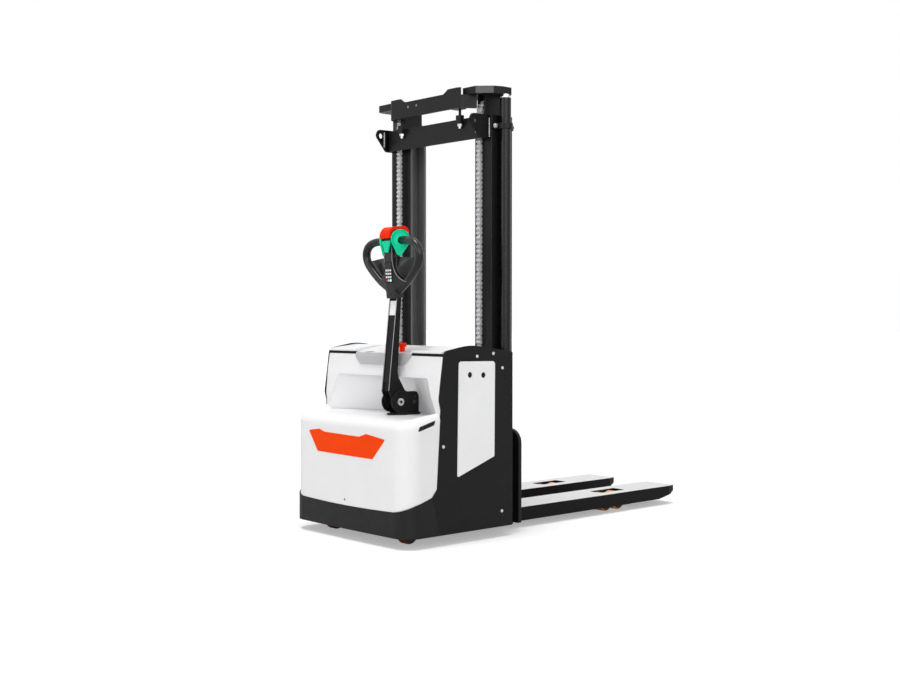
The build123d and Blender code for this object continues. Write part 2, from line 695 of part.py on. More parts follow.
# Hood: white moulded shell over the drive unit, flush with the side plates
with BuildPart() as hood:
    add(hood_body(0.0))
    add(hood_body(HOOD_WALL), mode=Mode.SUBTRACT)
    joint_side = edge_points(BOWL_BACK) + [(BOWL_BACK, 0.0), (joint_front, 0.0)]
    slab_yz(joint_side, -BODY_WIDTH, BODY_WIDTH, Mode.SUBTRACT)
    for side in (-1, 1):
        slab_yz(grown_outline(PLATE_OUTLINE, SEAM), side * (INNER_X - SEAM), side * BODY_WIDTH, Mode.SUBTRACT,
                PLATE_CORNERS)
        slab_yz(VENT_OUTLINE, side * (INNER_X - HOOD_RADIUS / 2), side * BODY_WIDTH, Mode.SUBTRACT, 4.0)
    bar_z(TILLER_X, TILLER_Y, BOWL_FLOOR - 2 * HOOD_WALL, BOWL_FLOOR, COLUMN_SHAFT_D / 2 + HOOD_WALL,
          Mode.SUBTRACT)
save(hood, "hood")

# Vent inserts set back in the hood's flanks
with BuildPart() as hood_vents:
    for side in (-1, 1):
        slab_yz(VENT_OUTLINE, side * (INNER_X - HOOD_RADIUS / 2), side * HALF_WIDTH, radius=4.0)
    add(hood_body(VENT_DEPTH), mode=Mode.INTERSECT)
    add(hood_body(HOOD_WALL), mode=Mode.SUBTRACT)
save(hood_vents, "hood_vents")

# Plain coloured panel on the hood's front, following its bow
PANEL_OUTLINE = [
    (-262.0, 437.0),
    (-186.0, 447.0),
    (-150.0, 437.0),
    (92.0, 433.0),
    (138.0, 447.0),
    (258.0, 432.0),
    (178.0, 348.0),
    (-196.0, 352.0),
]
with BuildPart() as hood_panel:
    with BuildSketch(Plane.XZ.offset(-FRONT_Y - HOOD_RADIUS)):
        with BuildLine():
            FilletPolyline(*PANEL_OUTLINE, radius=5.0, close=True)
        make_face()
    extrude(amount=2 * HOOD_RADIUS)
    add(front_prism(HOOD_INSET - PANEL_DEPTH, HOOD_RADIUS, BOWL_BACK, 0.0, HOOD_BACK_TOP), mode=Mode.INTERSECT)
    add(front_prism(HOOD_INSET, HOOD_RADIUS, BOWL_BACK, 0.0, HOOD_BACK_TOP), mode=Mode.SUBTRACT)
save(hood_panel, "hood_panel")


# Upper cover: white shell between the side plates, scooped in front and open over the battery
COVER_FOOT_Y = FACE_Y - 482.0
COVER_FRONT = [
    (COVER_FOOT_Y, BOWL_FLOOR + SLIDE_GAP),
    (COVER_FOOT_Y, 548.0),
    (FACE_Y - 486.0, 590.0),
    (FACE_Y - 477.0, COVER_TOP - 75.0),
    (FACE_Y - 466.0, COVER_TOP),
]
COVER_X = INNER_X - SLIDE_GAP


def cover_front_y(z):
    """The upper cover's front face above the scoop."""
    (low_y, low_z), (high_y, high_z) = COVER_FRONT[3], COVER_FRONT[4]
    return low_y + (z - low_z) * (high_y - low_y) / (high_z - low_z)


with BuildPart() as cover_core:
    core = [(y + COVER_WALL, z) for y, z in COVER_FRONT[:-1]]
    core[0] = (core[0][0], BOWL_FLOOR - SEAM)
    core += [
        (cover_front_y(COVER_TOP - COVER_WALL) + COVER_WALL, COVER_TOP - COVER_WALL),
        (COVER_REAR + COVER_WALL, COVER_TOP - COVER_WALL),
        (COVER_REAR + COVER_WALL, BOWL_FLOOR - SEAM),
    ]
    slab_yz(core, COVER_WALL - COVER_X, COVER_X - COVER_WALL)
    add(scoop(COVER_WALL), mode=Mode.SUBTRACT)

with BuildPart() as upper_cover:
    slab_yz(COVER_FRONT + [(COVER_REAR, COVER_TOP), (COVER_REAR, COVER_FRONT[0][1])], -COVER_X, COVER_X)
    add(scoop(0.0), mode=Mode.SUBTRACT)
    add(cover_core.part, mode=Mode.SUBTRACT)
    block(-BATTERY_HALF, BATTERY_HALF, BATTERY_FRONT, COVER_REAR, COVER_TOP - COVER_WALL, COVER_TOP, Mode.SUBTRACT)
    bar_z(STOP_BUTTON_X, STOP_BUTTON_Y, COVER_TOP - COVER_WALL, COVER_TOP, STOP_STEM_D / 2 + SEAM, Mode.SUBTRACT)
save(upper_cover, "upper_cover")

# Dash tray: pale slab on the cover with a lip that hangs over its front
TRAY_BOTTOM = COVER_TOP + SLIDE_GAP
TRAY_TOP = TRAY_BOTTOM + TRAY_THICKNESS
TRAY_BACK_TOP = TRAY_TOP + TRAY_RISE
with BuildPart() as dash_tray:
    lip_gap = SLIDE_GAP
    tray_side = [
        (cover_front_y(TRAY_LIP_BOTTOM) - lip_gap, TRAY_LIP_BOTTOM),
        (cover_front_y(TRAY_BOTTOM) - lip_gap, TRAY_BOTTOM),
        (TRAY_BACK, TRAY_BOTTOM),
        (TRAY_BACK, TRAY_BACK_TOP),
        (cover_front_y(TRAY_TOP) - lip_gap, TRAY_TOP),
        (cover_front_y(TRAY_BOTTOM) - lip_gap - TRAY_LIP, TRAY_BOTTOM - TRAY_LIP),
        (cover_front_y(TRAY_LIP_BOTTOM) - lip_gap - TRAY_LIP, TRAY_LIP_BOTTOM),
    ]
    slab_yz(tray_side, -TRAY_HALF, TRAY_HALF)
    with BuildSketch(Plane.XZ.offset(-FRONT_Y)):
        with BuildLine():
            FilletPolyline(
                (-TRAY_HALF, TRAY_BACK_TOP + SEAM),
                (TRAY_HALF, TRAY_BACK_TOP + SEAM),
                (TRAY_HALF, TRAY_BOTTOM - TRAY_LIP),
                (TRAY_LIP_HALF, TRAY_LIP_BOTTOM),
                (-TRAY_LIP_HALF, TRAY_LIP_BOTTOM),
                (-TRAY_HALF, TRAY_BOTTOM - TRAY_LIP),
                radius=[0.0, 0.0, 14.0, 18.0, 18.0, 14.0],
                close=True,
            )
        make_face()
    extrude(amount=-2 * BODY_LENGTH, mode=Mode.INTERSECT)
    hollow = [
        (TRAY_RAMP, TRAY_BOTTOM),
        (TRAY_RAMP, TRAY_TOP),
        (TRAY_BACK - TRAY_WALL, TRAY_BACK_TOP - 2 * TRAY_WALL),
        (TRAY_BACK - TRAY_WALL, TRAY_BOTTOM),
    ]
    slab_yz(hollow, TRAY_WALL - TRAY_HALF, TRAY_HALF - TRAY_WALL, Mode.SUBTRACT)
    bar_z(STOP_BUTTON_X, STOP_BUTTON_Y, TRAY_BOTTOM, TRAY_BACK_TOP, STOP_STEM_D / 2 + PIN_GAP, Mode.SUBTRACT)
save(dash_tray, "dash_tray")

# Emergency stop button, pushed down to cut the power
with BuildPart() as emergency_stop:
    bar_z(STOP_BUTTON_X, STOP_BUTTON_Y, TRAY_BOTTOM - STOP_TRAVEL, TRAY_TOP + STOP_RISE, STOP_STEM_D / 2)
    bar_z(STOP_BUTTON_X, STOP_BUTTON_Y, TRAY_TOP + STOP_RISE, TRAY_TOP + STOP_RISE + STOP_CAP_HEIGHT, STOP_CAP_D / 2)
    fillet(emergency_stop.edges().group_by(Axis.Z)[-1], STOP_CAP_HEIGHT / 3)
save(emergency_stop, "emergency_stop")

# Battery lid: shallow white cover, notched round the tray and hinged at its rear edge
HINGE_Y = LID_REAR + HINGE_BARREL_D / 2
HINGE_Z = LID_REAR_TOP - HINGE_DROP - HINGE_BARREL_D / 2
LID_X = INNER_X - 2 * SEAM


def lid_profile(drop, pull):
    return [
        (LID_FRONT + pull, LID_BOTTOM - (SEAM if drop else 0.0)),
        (LID_FRONT + pull, LID_FRONT_TOP - drop),
        (LID_APEX_Y, LID_APEX - drop),
        (LID_REAR - pull, LID_REAR_TOP - drop),
        (LID_REAR - pull, LID_BOTTOM - (SEAM if drop else 0.0)),
    ]


NOTCH_HALF = TRAY_HALF + SEAM
NOTCH_BACK = TRAY_BACK + SEAM
with BuildPart() as notch_walls:
    slab_yz(lid_profile(0.0, 0.0), -NOTCH_HALF - LID_WALL, NOTCH_HALF + LID_WALL, radius=[0.0, 4.0, 60.0, 4.0, 0.0])
    block(-BODY_WIDTH, BODY_WIDTH, NOTCH_BACK + LID_WALL, LID_REAR, COVER_TOP, MAST_HEIGHT, Mode.SUBTRACT)

with BuildPart() as battery_lid:
    slab_yz(lid_profile(0.0, 0.0), -LID_X, LID_X, radius=[0.0, 4.0, 60.0, 4.0, 0.0])
    slab_yz(lid_profile(LID_WALL, LID_WALL), LID_WALL - LID_X, LID_X - LID_WALL, Mode.SUBTRACT)
    add(notch_walls.part)
    rim_front = LID_FRONT + LID_RIM_INSET
    rim_bottom = COVER_TOP + SLIDE_GAP
    for side in (-1, 1):
        x_in = TRAY_HALF + LID_RIM_INSET
        x_out = LID_X - LID_RIM_INSET
        block(min(side * x_in, side * x_out), max(side * x_in, side * x_out), rim_front, rim_front + LID_WALL,
              rim_bottom, LID_FRONT_TOP - LID_WALL / 2)
        block(min(side * x_out, side * (x_out - LID_WALL)), max(side * x_out, side * (x_out - LID_WALL)), rim_front,
              LID_REAR - LID_RIM_INSET, rim_bottom, LID_FRONT_TOP - LID_WALL / 2)
        barrel_in = side * HINGE_X - HINGE_LENGTH / 2
        barrel_out = side * HINGE_X + HINGE_LENGTH / 2
        bar_x(barrel_in, barrel_out, HINGE_Y, HINGE_Z, HINGE_BARREL_D / 2)
        block(barrel_in, barrel_out, LID_REAR - LID_WALL, HINGE_Y, HINGE_Z, HINGE_Z + HINGE_BARREL_D / 2)
        bar_x(barrel_in, barrel_out, HINGE_Y, HINGE_Z, HINGE_PIN_D / 2 + PIN_GAP, Mode.SUBTRACT)
    block(-NOTCH_HALF, NOTCH_HALF, LID_FRONT - SEAM, NOTCH_BACK, rim_bottom - SEAM,
          LID_APEX + SEAM, Mode.SUBTRACT)
save(battery_lid, "battery_lid")

# Hinge rail: cross bar between the side plates with ears and pins for the lid
with BuildPart() as lid_hinges:
    rail_top = HINGE_Z - HINGE_BARREL_D / 2 - 2 * SEAM
    rail_front = HINGE_Y - HINGE_BARREL_D / 2
    rail_back = HINGE_Y + HINGE_BARREL_D / 2
    block(-INNER_X, INNER_X, rail_front, rail_back, rail_top - 3 * HINGE_EAR, rail_top)
    for side in (-1, 1):
        for end in (-1, 1):
            ear_x = side * HINGE_X + end * (HINGE_LENGTH / 2 + SEAM / 2 + HINGE_EAR / 2)
            block(ear_x - HINGE_EAR / 2, ear_x + HINGE_EAR / 2, rail_front, rail_back, rail_top, HINGE_Z)
            bar_x(ear_x - HINGE_EAR / 2, ear_x + HINGE_EAR / 2, HINGE_Y, HINGE_Z, HINGE_BARREL_D / 2)
        bar_x(side * HINGE_X - HINGE_LENGTH / 2 - SEAM, side * HINGE_X + HINGE_LENGTH / 2 + SEAM, HINGE_Y, HINGE_Z,
              HINGE_PIN_D / 2)
save(lid_hinges, "lid_hinges")

# Outer mast columns: channels open to the middle, each with a bracket for the fixed end of its chain
with BuildPart() as outer_columns:
    for side in (-1, 1):
        x_in, x_out = sorted((side * COLUMN_IN, side * COLUMN_OUT))
        block(x_in, x_out, COLUMN_FRONT, COLUMN_BACK, FOOT_TOP, COLUMN_TOP)
        x_in, x_out = sorted((side * COLUMN_IN, side * (COLUMN_OUT - COLUMN_WEB)))
        block(x_in, x_out, COLUMN_FRONT + COLUMN_FLANGE, COLUMN_BACK - COLUMN_FLANGE, FOOT_TOP, COLUMN_TOP,
              Mode.SUBTRACT)
        x_in, x_out = sorted((side * (CHAIN_X - CHAIN_WIDTH / 2), side * COLUMN_OUT))
        block(x_in, x_out, CHAIN_FRONT - CHAIN_THICKNESS, COLUMN_FRONT, CHAIN_ANCHOR_Z - BAR, CHAIN_ANCHOR_Z)
save(outer_columns, "outer_columns")

# Outer head bar: front cross plate with returns to the columns and two stop blocks
with BuildPart() as outer_head_bar:
    block(-OUTER_BAR_HALF, OUTER_BAR_HALF, OUTER_BAR_FRONT, OUTER_BAR_FRONT + BAR, OUTER_BAR_BOTTOM, OUTER_BAR_TOP)
    for side in (-1, 1):
        x_in, x_out = sorted((side * (OUTER_BAR_HALF - BAR), side * OUTER_BAR_HALF))
        block(x_in, x_out, OUTER_BAR_FRONT, COLUMN_FRONT, OUTER_BAR_BOTTOM, OUTER_BAR_TOP)
        block(side * STOP_X - STOP_WIDTH / 2, side * STOP_X + STOP_WIDTH / 2, OUTER_BAR_FRONT - STOP_DEPTH,
              OUTER_BAR_FRONT, STOP_BLOCK_BOTTOM, STOP_BLOCK_TOP)
        bar_z(side * STOP_X, OUTER_BAR_FRONT - STOP_DEPTH / 2, STOP_BLOCK_BOTTOM, STOP_BLOCK_TOP,
              STOP_BOLT_D / 2 + PIN_GAP, Mode.SUBTRACT)
save(outer_head_bar, "outer_head_bar")

# Stop bolts under the inner head bar, with a nut below each block
with BuildPart() as stop_bolts:
    for side in (-1, 1):
        bolt_y = OUTER_BAR_FRONT - STOP_DEPTH / 2
        bar_z(side * STOP_X, bolt_y, STOP_BLOCK_BOTTOM - 2 * STOP_NUT_HEIGHT, INNER_BAR_BOTTOM - SLIDE_GAP,
              STOP_BOLT_D / 2)
        with BuildSketch(Plane.XY.offset(STOP_BLOCK_BOTTOM - STOP_NUT_HEIGHT)):
            with Locations((side * STOP_X, bolt_y)):
                RegularPolygon(STOP_NUT_D / 2, 6)
        extrude(amount=STOP_NUT_HEIGHT)
save(stop_bolts, "stop_bolts")

# Lifting lugs: eyes of thick plate on the front of the outer columns
with BuildPart() as lifting_lugs:
    for side in (-1, 1):
        x0 = side * LUG_X - LUG_THICKNESS / 2
        lug = [
            (COLUMN_FRONT, OUTER_BAR_TOP + 8.0),
            (LUG_HOLE_Y - LUG_REACH / 2, LUG_HOLE_Z + LUG_REACH),
            (LUG_HOLE_Y - LUG_REACH, LUG_HOLE_Z),
            (OUTER_BAR_FRONT - 8.0, OUTER_BAR_BOTTOM),
            (COLUMN_FRONT, OUTER_BAR_BOTTOM),
        ]
        slab_yz(lug, x0, x0 + LUG_THICKNESS, radius=[4.0, 16.0, 20.0, 10.0, 4.0])
        bar_x(x0, x0 + LUG_THICKNESS, LUG_HOLE_Y, LUG_HOLE_Z, LUG_HOLE_D / 2, Mode.SUBTRACT)
save(lifting_lugs, "lifting_lugs")

# Lift cylinders beside the columns: barrels on the foot beam, their rods under the cap plates
with BuildPart() as cylinder_barrels:
    for side in (-1, 1):
        x = side * CYLINDER_X
        bar_z(x, CYLINDER_Y, FOOT_TOP, CYLINDER_TOP, CYLINDER_D / 2)
        bar_z(x, CYLINDER_Y, FOOT_TOP + CYLINDER_FLOOR, CYLINDER_TOP - GLAND_DEPTH, CYLINDER_BORE / 2, Mode.SUBTRACT)
        bar_z(x, CYLINDER_Y, CYLINDER_TOP - GLAND_DEPTH, CYLINDER_TOP, ROD_D / 2 + PIN_GAP, Mode.SUBTRACT)
save(cylinder_barrels, "cylinder_barrels")

with BuildPart() as lift_rods:
    for side in (-1, 1):
        x = side * CYLINDER_X
        piston_bottom = FOOT_TOP + CYLINDER_FLOOR + SLIDE_GAP
        bar_z(x, CYLINDER_Y, piston_bottom, piston_bottom + PISTON_HEIGHT, CYLINDER_BORE / 2 - PIN_GAP)
        bar_z(x, CYLINDER_Y, piston_bottom, CAP_BOTTOM, ROD_D / 2)
save(lift_rods, "lift_rods")

# Cylinder clamps: a plate on the column with a ring round the barrel
with BuildPart() as cylinder_clamps:
    for side in (-1, 1):
        x_in, x_out = sorted((side * COLUMN_OUT, side * CYLINDER_X))
        z0 = CLAMP_Z - CLAMP_HEIGHT / 2
        z1 = CLAMP_Z + CLAMP_HEIGHT / 2
        face_in, face_out = sorted((side * COLUMN_OUT, side * (COLUMN_OUT + CLAMP_WALL)))
        block(face_in, face_out, CYLINDER_Y - CLAMP_LENGTH / 2, COLUMN_BACK, z0, z1)
        block(x_in, x_out, CYLINDER_Y - CYLINDER_D / 2, CYLINDER_Y + CYLINDER_D / 2, z0, z1)
        bar_z(side * CYLINDER_X, CYLINDER_Y, z0, z1, CYLINDER_D / 2 + CLAMP_WALL)
        bar_z(side * CYLINDER_X, CYLINDER_Y, z0, z1, CYLINDER_D / 2 + PIN_GAP, Mode.SUBTRACT)
        cut_in, cut_out = sorted((0.0, side * COLUMN_OUT))
        block(cut_in, cut_out, COLUMN_FRONT - CLAMP_LENGTH, COLUMN_BACK + CLAMP_LENGTH, z0, z1, Mode.SUBTRACT)
save(cylinder_clamps, "cylinder_clamps")

# Inner mast columns: beams nested in the outer channels, tied across the front near the floor
GUIDE_TOP = GUIDE_ROLLER_Z + GUIDE_ROLLER_R + GUIDE_ROOM
with BuildPart() as inner_columns:
    for side in (-1, 1):
        x_in, x_out = sorted((side * INNER_FACE, side * INNER_REACH))
        block(x_in, x_out, INNER_FRONT, INNER_BACK, INNER_BOTTOM, YOKE_BOTTOM)
        x_in, x_out = sorted((side * INNER_FACE, side * INNER_WEB_X))
        block(x_in, x_out, INNER_FRONT + INNER_FLANGE, INNER_BACK - INNER_FLANGE, INNER_BOTTOM, YOKE_BOTTOM,
              Mode.SUBTRACT)
        x_in, x_out = sorted((side * (INNER_WEB_X + INNER_WEB), side * INNER_REACH))
        block(x_in, x_out, INNER_FRONT + INNER_FLANGE, INNER_BACK - INNER_FLANGE, INNER_BOTTOM, YOKE_BOTTOM,
              Mode.SUBTRACT)
        block(x_in, x_out, INNER_FRONT, INNER_BACK, INNER_BOTTOM, GUIDE_TOP, Mode.SUBTRACT)
        axle_in, axle_out = sorted((side * INNER_WEB_X, side * (INNER_REACH - SEAM)))
        bar_x(axle_in, axle_out, GUIDE_ROLLER_Y, GUIDE_ROLLER_Z, ROLLER_AXLE_D / 2)
    block(-INNER_WEB_X, INNER_WEB_X, INNER_FRONT - BAR, INNER_FRONT, GUIDE_TOP, GUIDE_TOP + 8 * BAR)
save(inner_columns, "inner_columns")

# Guide rollers at the foot of the inner mast, running in the outer channels
with BuildPart() as inner_rollers:
    for side in (-1, 1):
        roller_in = INNER_WEB_X + INNER_WEB + GUIDE_ROOM
        x_in, x_out = sorted((side * roller_in, side * (roller_in + GUIDE_ROLLER_WIDTH)))
        bar_x(x_in, x_out, GUIDE_ROLLER_Y, GUIDE_ROLLER_Z, GUIDE_ROLLER_R)
        bar_x(x_in, x_out, GUIDE_ROLLER_Y, GUIDE_ROLLER_Z, ROLLER_AXLE_D / 2 + PIN_GAP, Mode.SUBTRACT)
save(inner_rollers, "inner_rollers")

# Inner head bar: bent cross plate, raised at its ends, welded under the cap plates, with stop flanges
YOKE_FRONT = FACE_Y - 146.0
YOKE_BACK = FACE_Y - 45.0
with BuildPart() as inner_head_bar:
    splay_x = (INNER_BAR_END - INNER_BAR_FRONT) * tan(radians(INNER_BAR_SPLAY))
    bend = BAR * tan(radians(90.0 - INNER_BAR_SPLAY) / 2)
    edge = BAR / cos(radians(INNER_BAR_SPLAY))
    bar_plan = [
        (-INNER_BAR_HALF - splay_x, INNER_BAR_END),
        (-INNER_BAR_HALF, INNER_BAR_FRONT),
        (INNER_BAR_HALF, INNER_BAR_FRONT),
        (INNER_BAR_HALF + splay_x, INNER_BAR_END),
        (INNER_BAR_HALF + splay_x - edge, INNER_BAR_END),
        (INNER_BAR_HALF - bend, INNER_BAR_FRONT + BAR),
        (bend - INNER_BAR_HALF, INNER_BAR_FRONT + BAR),
        (edge - INNER_BAR_HALF - splay_x, INNER_BAR_END),
    ]
    with BuildSketch(Plane.XY.offset(INNER_BAR_BOTTOM)):
        with BuildLine():
            FilletPolyline(*bar_plan, radius=[0.0, 2 * BAR, 2 * BAR, 0.0, 0.0, BAR, BAR, 0.0], close=True)
        make_face()
    extrude(amount=MAST_HEIGHT - INNER_BAR_BOTTOM)
    block(-BODY_WIDTH, BODY_WIDTH, INNER_BAR_FRONT + BAR, FACE_Y, CAP_BOTTOM, 2 * MAST_HEIGHT, Mode.SUBTRACT)
    with BuildSketch(Plane.XZ.offset(-INNER_BAR_FRONT - BODY_LENGTH)):
        with BuildLine():
            FilletPolyline(
                (INNER_BAR_EAR, MAST_HEIGHT + BAR),
                (INNER_BAR_EAR, MAST_HEIGHT),
                (INNER_BAR_MIDDLE, INNER_BAR_TOP),
                (-INNER_BAR_MIDDLE, INNER_BAR_TOP),
                (-INNER_BAR_EAR, MAST_HEIGHT),
                (-INNER_BAR_EAR, MAST_HEIGHT + BAR),
                radius=[0.0, 14.0, 14.0, 14.0, 14.0, 0.0],
                close=True,
            )
        make_face()
    extrude(amount=2 * BODY_LENGTH, mode=Mode.SUBTRACT)
    for side in (-1, 1):
        x_in, x_out = sorted((side * (STOP_X - STOP_WIDTH), side * (INNER_BAR_HALF - bend)))
        block(x_in, x_out, INNER_BAR_FRONT + BAR / 2, OUTER_BAR_FRONT, INNER_BAR_BOTTOM, INNER_BAR_BOTTOM + BAR)
save(inner_head_bar, "inner_head_bar")

# Cap plates over the pulleys, with the yoke plates and axles that carry them
CAP_INSIDE = CHAIN_X - 93.0
RIGHT_CAP = [
    (CAP_INSIDE, FACE_Y - 150.0),
    (CAP_INSIDE + 46.0, FACE_Y - 210.0),
    (CYLINDER_X - 58.0, FACE_Y - 210.0),
    (CYLINDER_X - 5.0, FACE_Y - 156.0),
    (CYLINDER_X + 10.0, FACE_Y - 116.0),
    (CYLINDER_X + 10.0, FACE_Y - 66.0),
    (CYLINDER_X - 7.0, FACE_Y - 53.0),
    (CAP_INSIDE, FACE_Y - 53.0),
]
LEFT_CAP = [
    (-CAP_INSIDE, FACE_Y - 150.0),
    (-CAP_INSIDE - 46.0, FACE_Y - 202.0),
    (-CYLINDER_X - 9.0, FACE_Y - 198.0),
    (-CYLINDER_X - 19.0, FACE_Y - 174.0),
    (-CYLINDER_X - 19.0, FACE_Y - 66.0),
    (7.0 - CYLINDER_X, FACE_Y - 53.0),
    (-CAP_INSIDE, FACE_Y - 53.0),
]
YOKE = 9.0
with BuildPart() as cap_plates:
    for side, cap_plan in ((-1, LEFT_CAP), (1, RIGHT_CAP)):
        with BuildSketch(Plane.XY.offset(CAP_BOTTOM)):
            with BuildLine():
                FilletPolyline(*cap_plan, radius=4.0, close=True)
            make_face()
        extrude(amount=CAP_THICKNESS)
        for start in (CHAIN_X - PULLEY_WIDTH / 2 - SEAM - YOKE, CHAIN_X + PULLEY_WIDTH / 2 + SEAM):
            x_in, x_out = sorted((side * start, side * (start + YOKE)))
            block(x_in, x_out, YOKE_FRONT, YOKE_BACK, YOKE_BOTTOM, CAP_BOTTOM)
        yoke_reach = PULLEY_WIDTH / 2 + SEAM + YOKE
        x_in, x_out = sorted((side * (CHAIN_X - yoke_reach), side * (CHAIN_X + yoke_reach)))
        bar_x(x_in, x_out, PULLEY_Y, PULLEY_Z, PULLEY_AXLE_D / 2)
save(cap_plates, "cap_plates")

# Chain pulleys on the yoke axles
with BuildPart() as chain_pulleys:
    for side in (-1, 1):
        x0 = side * CHAIN_X - PULLEY_WIDTH / 2
        bar_x(x0, x0 + PULLEY_WIDTH, PULLEY_Y, PULLEY_Z, PULLEY_R)
        bar_x(x0, x0 + PULLEY_WIDTH, PULLEY_Y, PULLEY_Z, PULLEY_AXLE_D / 2 + PIN_GAP, Mode.SUBTRACT)
save(chain_pulleys, "chain_pulleys")


def chain_run(x, y, z0, z1):
    """Adds one straight run of leaf chain: a strip whose edges draw in between the link pins."""
    count = int((z1 - z0) / CHAIN_PITCH)
    step = (z1 - z0) / count
    thick = CHAIN_THICKNESS / 2
    waist = thick - CHAIN_WAIST
    front = [(y - (thick if i % 2 else waist), z0 + i * step / 2) for i in range(2 * count + 1)]
    back = [(y + (thick if i % 2 else waist), z0 + i * step / 2) for i in range(2 * count, -1, -1)]
    add(prism(Plane.YZ.offset(x - CHAIN_WIDTH / 2), front + back, CHAIN_WIDTH, 0.0))


# Lift chains: fixed run in front of the mast, half turn over the pulley, and run down to the carriage
with BuildPart() as lift_chain_front:
    for side in (-1, 1):
        chain_run(side * CHAIN_X, CHAIN_FRONT, CHAIN_ANCHOR_Z, PULLEY_Z)
save(lift_chain_front, "lift_chain_front")

with BuildPart() as lift_chain_wrap:
    for side in (-1, 1):
        x0 = side * CHAIN_X - CHAIN_WIDTH / 2
        outer = PULLEY_PITCH_R + CHAIN_THICKNESS / 2
        bar_x(x0, x0 + CHAIN_WIDTH, PULLEY_Y, PULLEY_Z, outer)
        bar_x(x0, x0 + CHAIN_WIDTH, PULLEY_Y, PULLEY_Z, outer - CHAIN_THICKNESS, Mode.SUBTRACT)
    block(-BODY_WIDTH, BODY_WIDTH, PULLEY_Y - 2 * outer, PULLEY_Y + 2 * outer, PULLEY_Z - 2 * outer, PULLEY_Z,
          Mode.SUBTRACT)
save(lift_chain_wrap, "lift_chain_wrap")

CARRIAGE_ANCHOR_Z = CARRIAGE_TOP - 2 * BAR
with BuildPart() as lift_chain_rear:
    for side in (-1, 1):
        chain_run(side * CHAIN_X, CHAIN_BACK, CARRIAGE_ANCHOR_Z, PULLEY_Z)
save(lift_chain_rear, "lift_chain_rear")

# Carriage: fork plate with side arms that carry the rollers inside the inner mast
with BuildPart() as carriage_frame:
    wing = FORK_SPREAD / 2 + BAR / 2
    plate_bottom = FORK_TOP - FORK_PLATE
    with BuildSketch(Plane.XZ.offset(-FACE_Y)):
        with BuildLine():
            FilletPolyline(
                (-CARRIAGE_HALF, CARRIAGE_WING_BOTTOM),
                (-wing, CARRIAGE_WING_BOTTOM),
                (-wing, plate_bottom),
                (wing, plate_bottom),
                (wing, CARRIAGE_WING_BOTTOM),
                (CARRIAGE_HALF, CARRIAGE_WING_BOTTOM),
                (CARRIAGE_HALF, CARRIAGE_TOP),
                (-CARRIAGE_HALF, CARRIAGE_TOP),
                radius=[6.0, 4.0, 0.0, 0.0, 4.0, 6.0, CARRIAGE_CORNER, CARRIAGE_CORNER],
                close=True,
            )
        make_face()
    extrude(amount=CARRIAGE_PLATE)
    block(-CARRIAGE_WINDOW_HALF, CARRIAGE_WINDOW_HALF, FACE_Y - CARRIAGE_PLATE, FACE_Y, CARRIAGE_WINDOW_BOTTOM,
          CARRIAGE_WINDOW_TOP, Mode.SUBTRACT)
    for side in (-1, 1):
        x_in, x_out = sorted((side * ARM_X, side * (ARM_X + ARM_THICKNESS)))
        block(x_in, x_out, ARM_FRONT, FACE_Y - CARRIAGE_PLATE, ARM_BOTTOM, CARRIAGE_TOP - BAR)
        x_in, x_out = sorted((side * ARM_X, side * (INNER_WEB_X - SEAM)))
        for roller_z in (ROLLER_LOW_Z, ROLLER_HIGH_Z):
            bar_x(x_in, x_out, ROLLER_Y, roller_z, ROLLER_AXLE_D / 2)
        chain_x = side * CHAIN_X
        block(chain_x - CHAIN_WIDTH / 2, chain_x + CHAIN_WIDTH / 2, CHAIN_BACK - CHAIN_THICKNESS / 2,
              FACE_Y - CARRIAGE_PLATE, CARRIAGE_ANCHOR_Z - BAR, CARRIAGE_ANCHOR_Z)
save(carriage_frame, "carriage_frame")

# Carriage rollers, an upper and a lower pair
for name, roller_z in (("lower", ROLLER_LOW_Z), ("upper", ROLLER_HIGH_Z)):
    with BuildPart() as carriage_rollers:
        for side in (-1, 1):
            roller_out = INNER_WEB_X - 4 * SEAM
            x_in, x_out = sorted((side * (roller_out - ROLLER_WIDTH), side * roller_out))
            bar_x(x_in, x_out, ROLLER_Y, roller_z, ROLLER_R)
            bar_x(x_in, x_out, ROLLER_Y, roller_z, ROLLER_AXLE_D / 2 + PIN_GAP, Mode.SUBTRACT)
    save(carriage_rollers, f"carriage_rollers_{name}")

# Drive unit: gear case beside the wheel, slewing disc under the deck, motor and brake above it
SLEW_TOP = DECK_Z - SLIDE_GAP
MOTOR_BOTTOM = DECK_Z + DECK + 2 * SLIDE_GAP
with BuildPart() as drive_gearbox:
    bar_z(0, DRIVE_Y, SLEW_TOP - SLEW_HEIGHT, SLEW_TOP, SLEW_D / 2)
    bar_z(0, DRIVE_Y, SLEW_TOP, MOTOR_BOTTOM, NECK_D / 2)
    case_in = DRIVE_WHEEL_WIDTH / 2 + 4 * SEAM
    block(case_in, case_in + GEAR_CASE, DRIVE_Y - GEAR_CASE_HALF, DRIVE_Y + GEAR_CASE_HALF, DRIVE_WHEEL_D / 2,
          SLEW_TOP - SLEW_HEIGHT)
    bar_x(case_in, case_in + GEAR_CASE, DRIVE_Y, DRIVE_WHEEL_D / 2, GEAR_CASE_HALF)
    bar_x(-DRIVE_WHEEL_WIDTH / 2 - 2 * SEAM, case_in, DRIVE_Y, DRIVE_WHEEL_D / 2, DRIVE_AXLE_D / 2)
save(drive_gearbox, "drive_gearbox")

MOTOR_TOP = MOTOR_BOTTOM + MOTOR_HEIGHT
with BuildPart() as drive_motor:
    bar_z(0, DRIVE_Y, MOTOR_BOTTOM, MOTOR_TOP, MOTOR_D / 2)
    bar_z(0, DRIVE_Y, MOTOR_TOP, MOTOR_TOP + BRAKE_HEIGHT, BRAKE_D / 2)
save(drive_motor, "drive_motor")

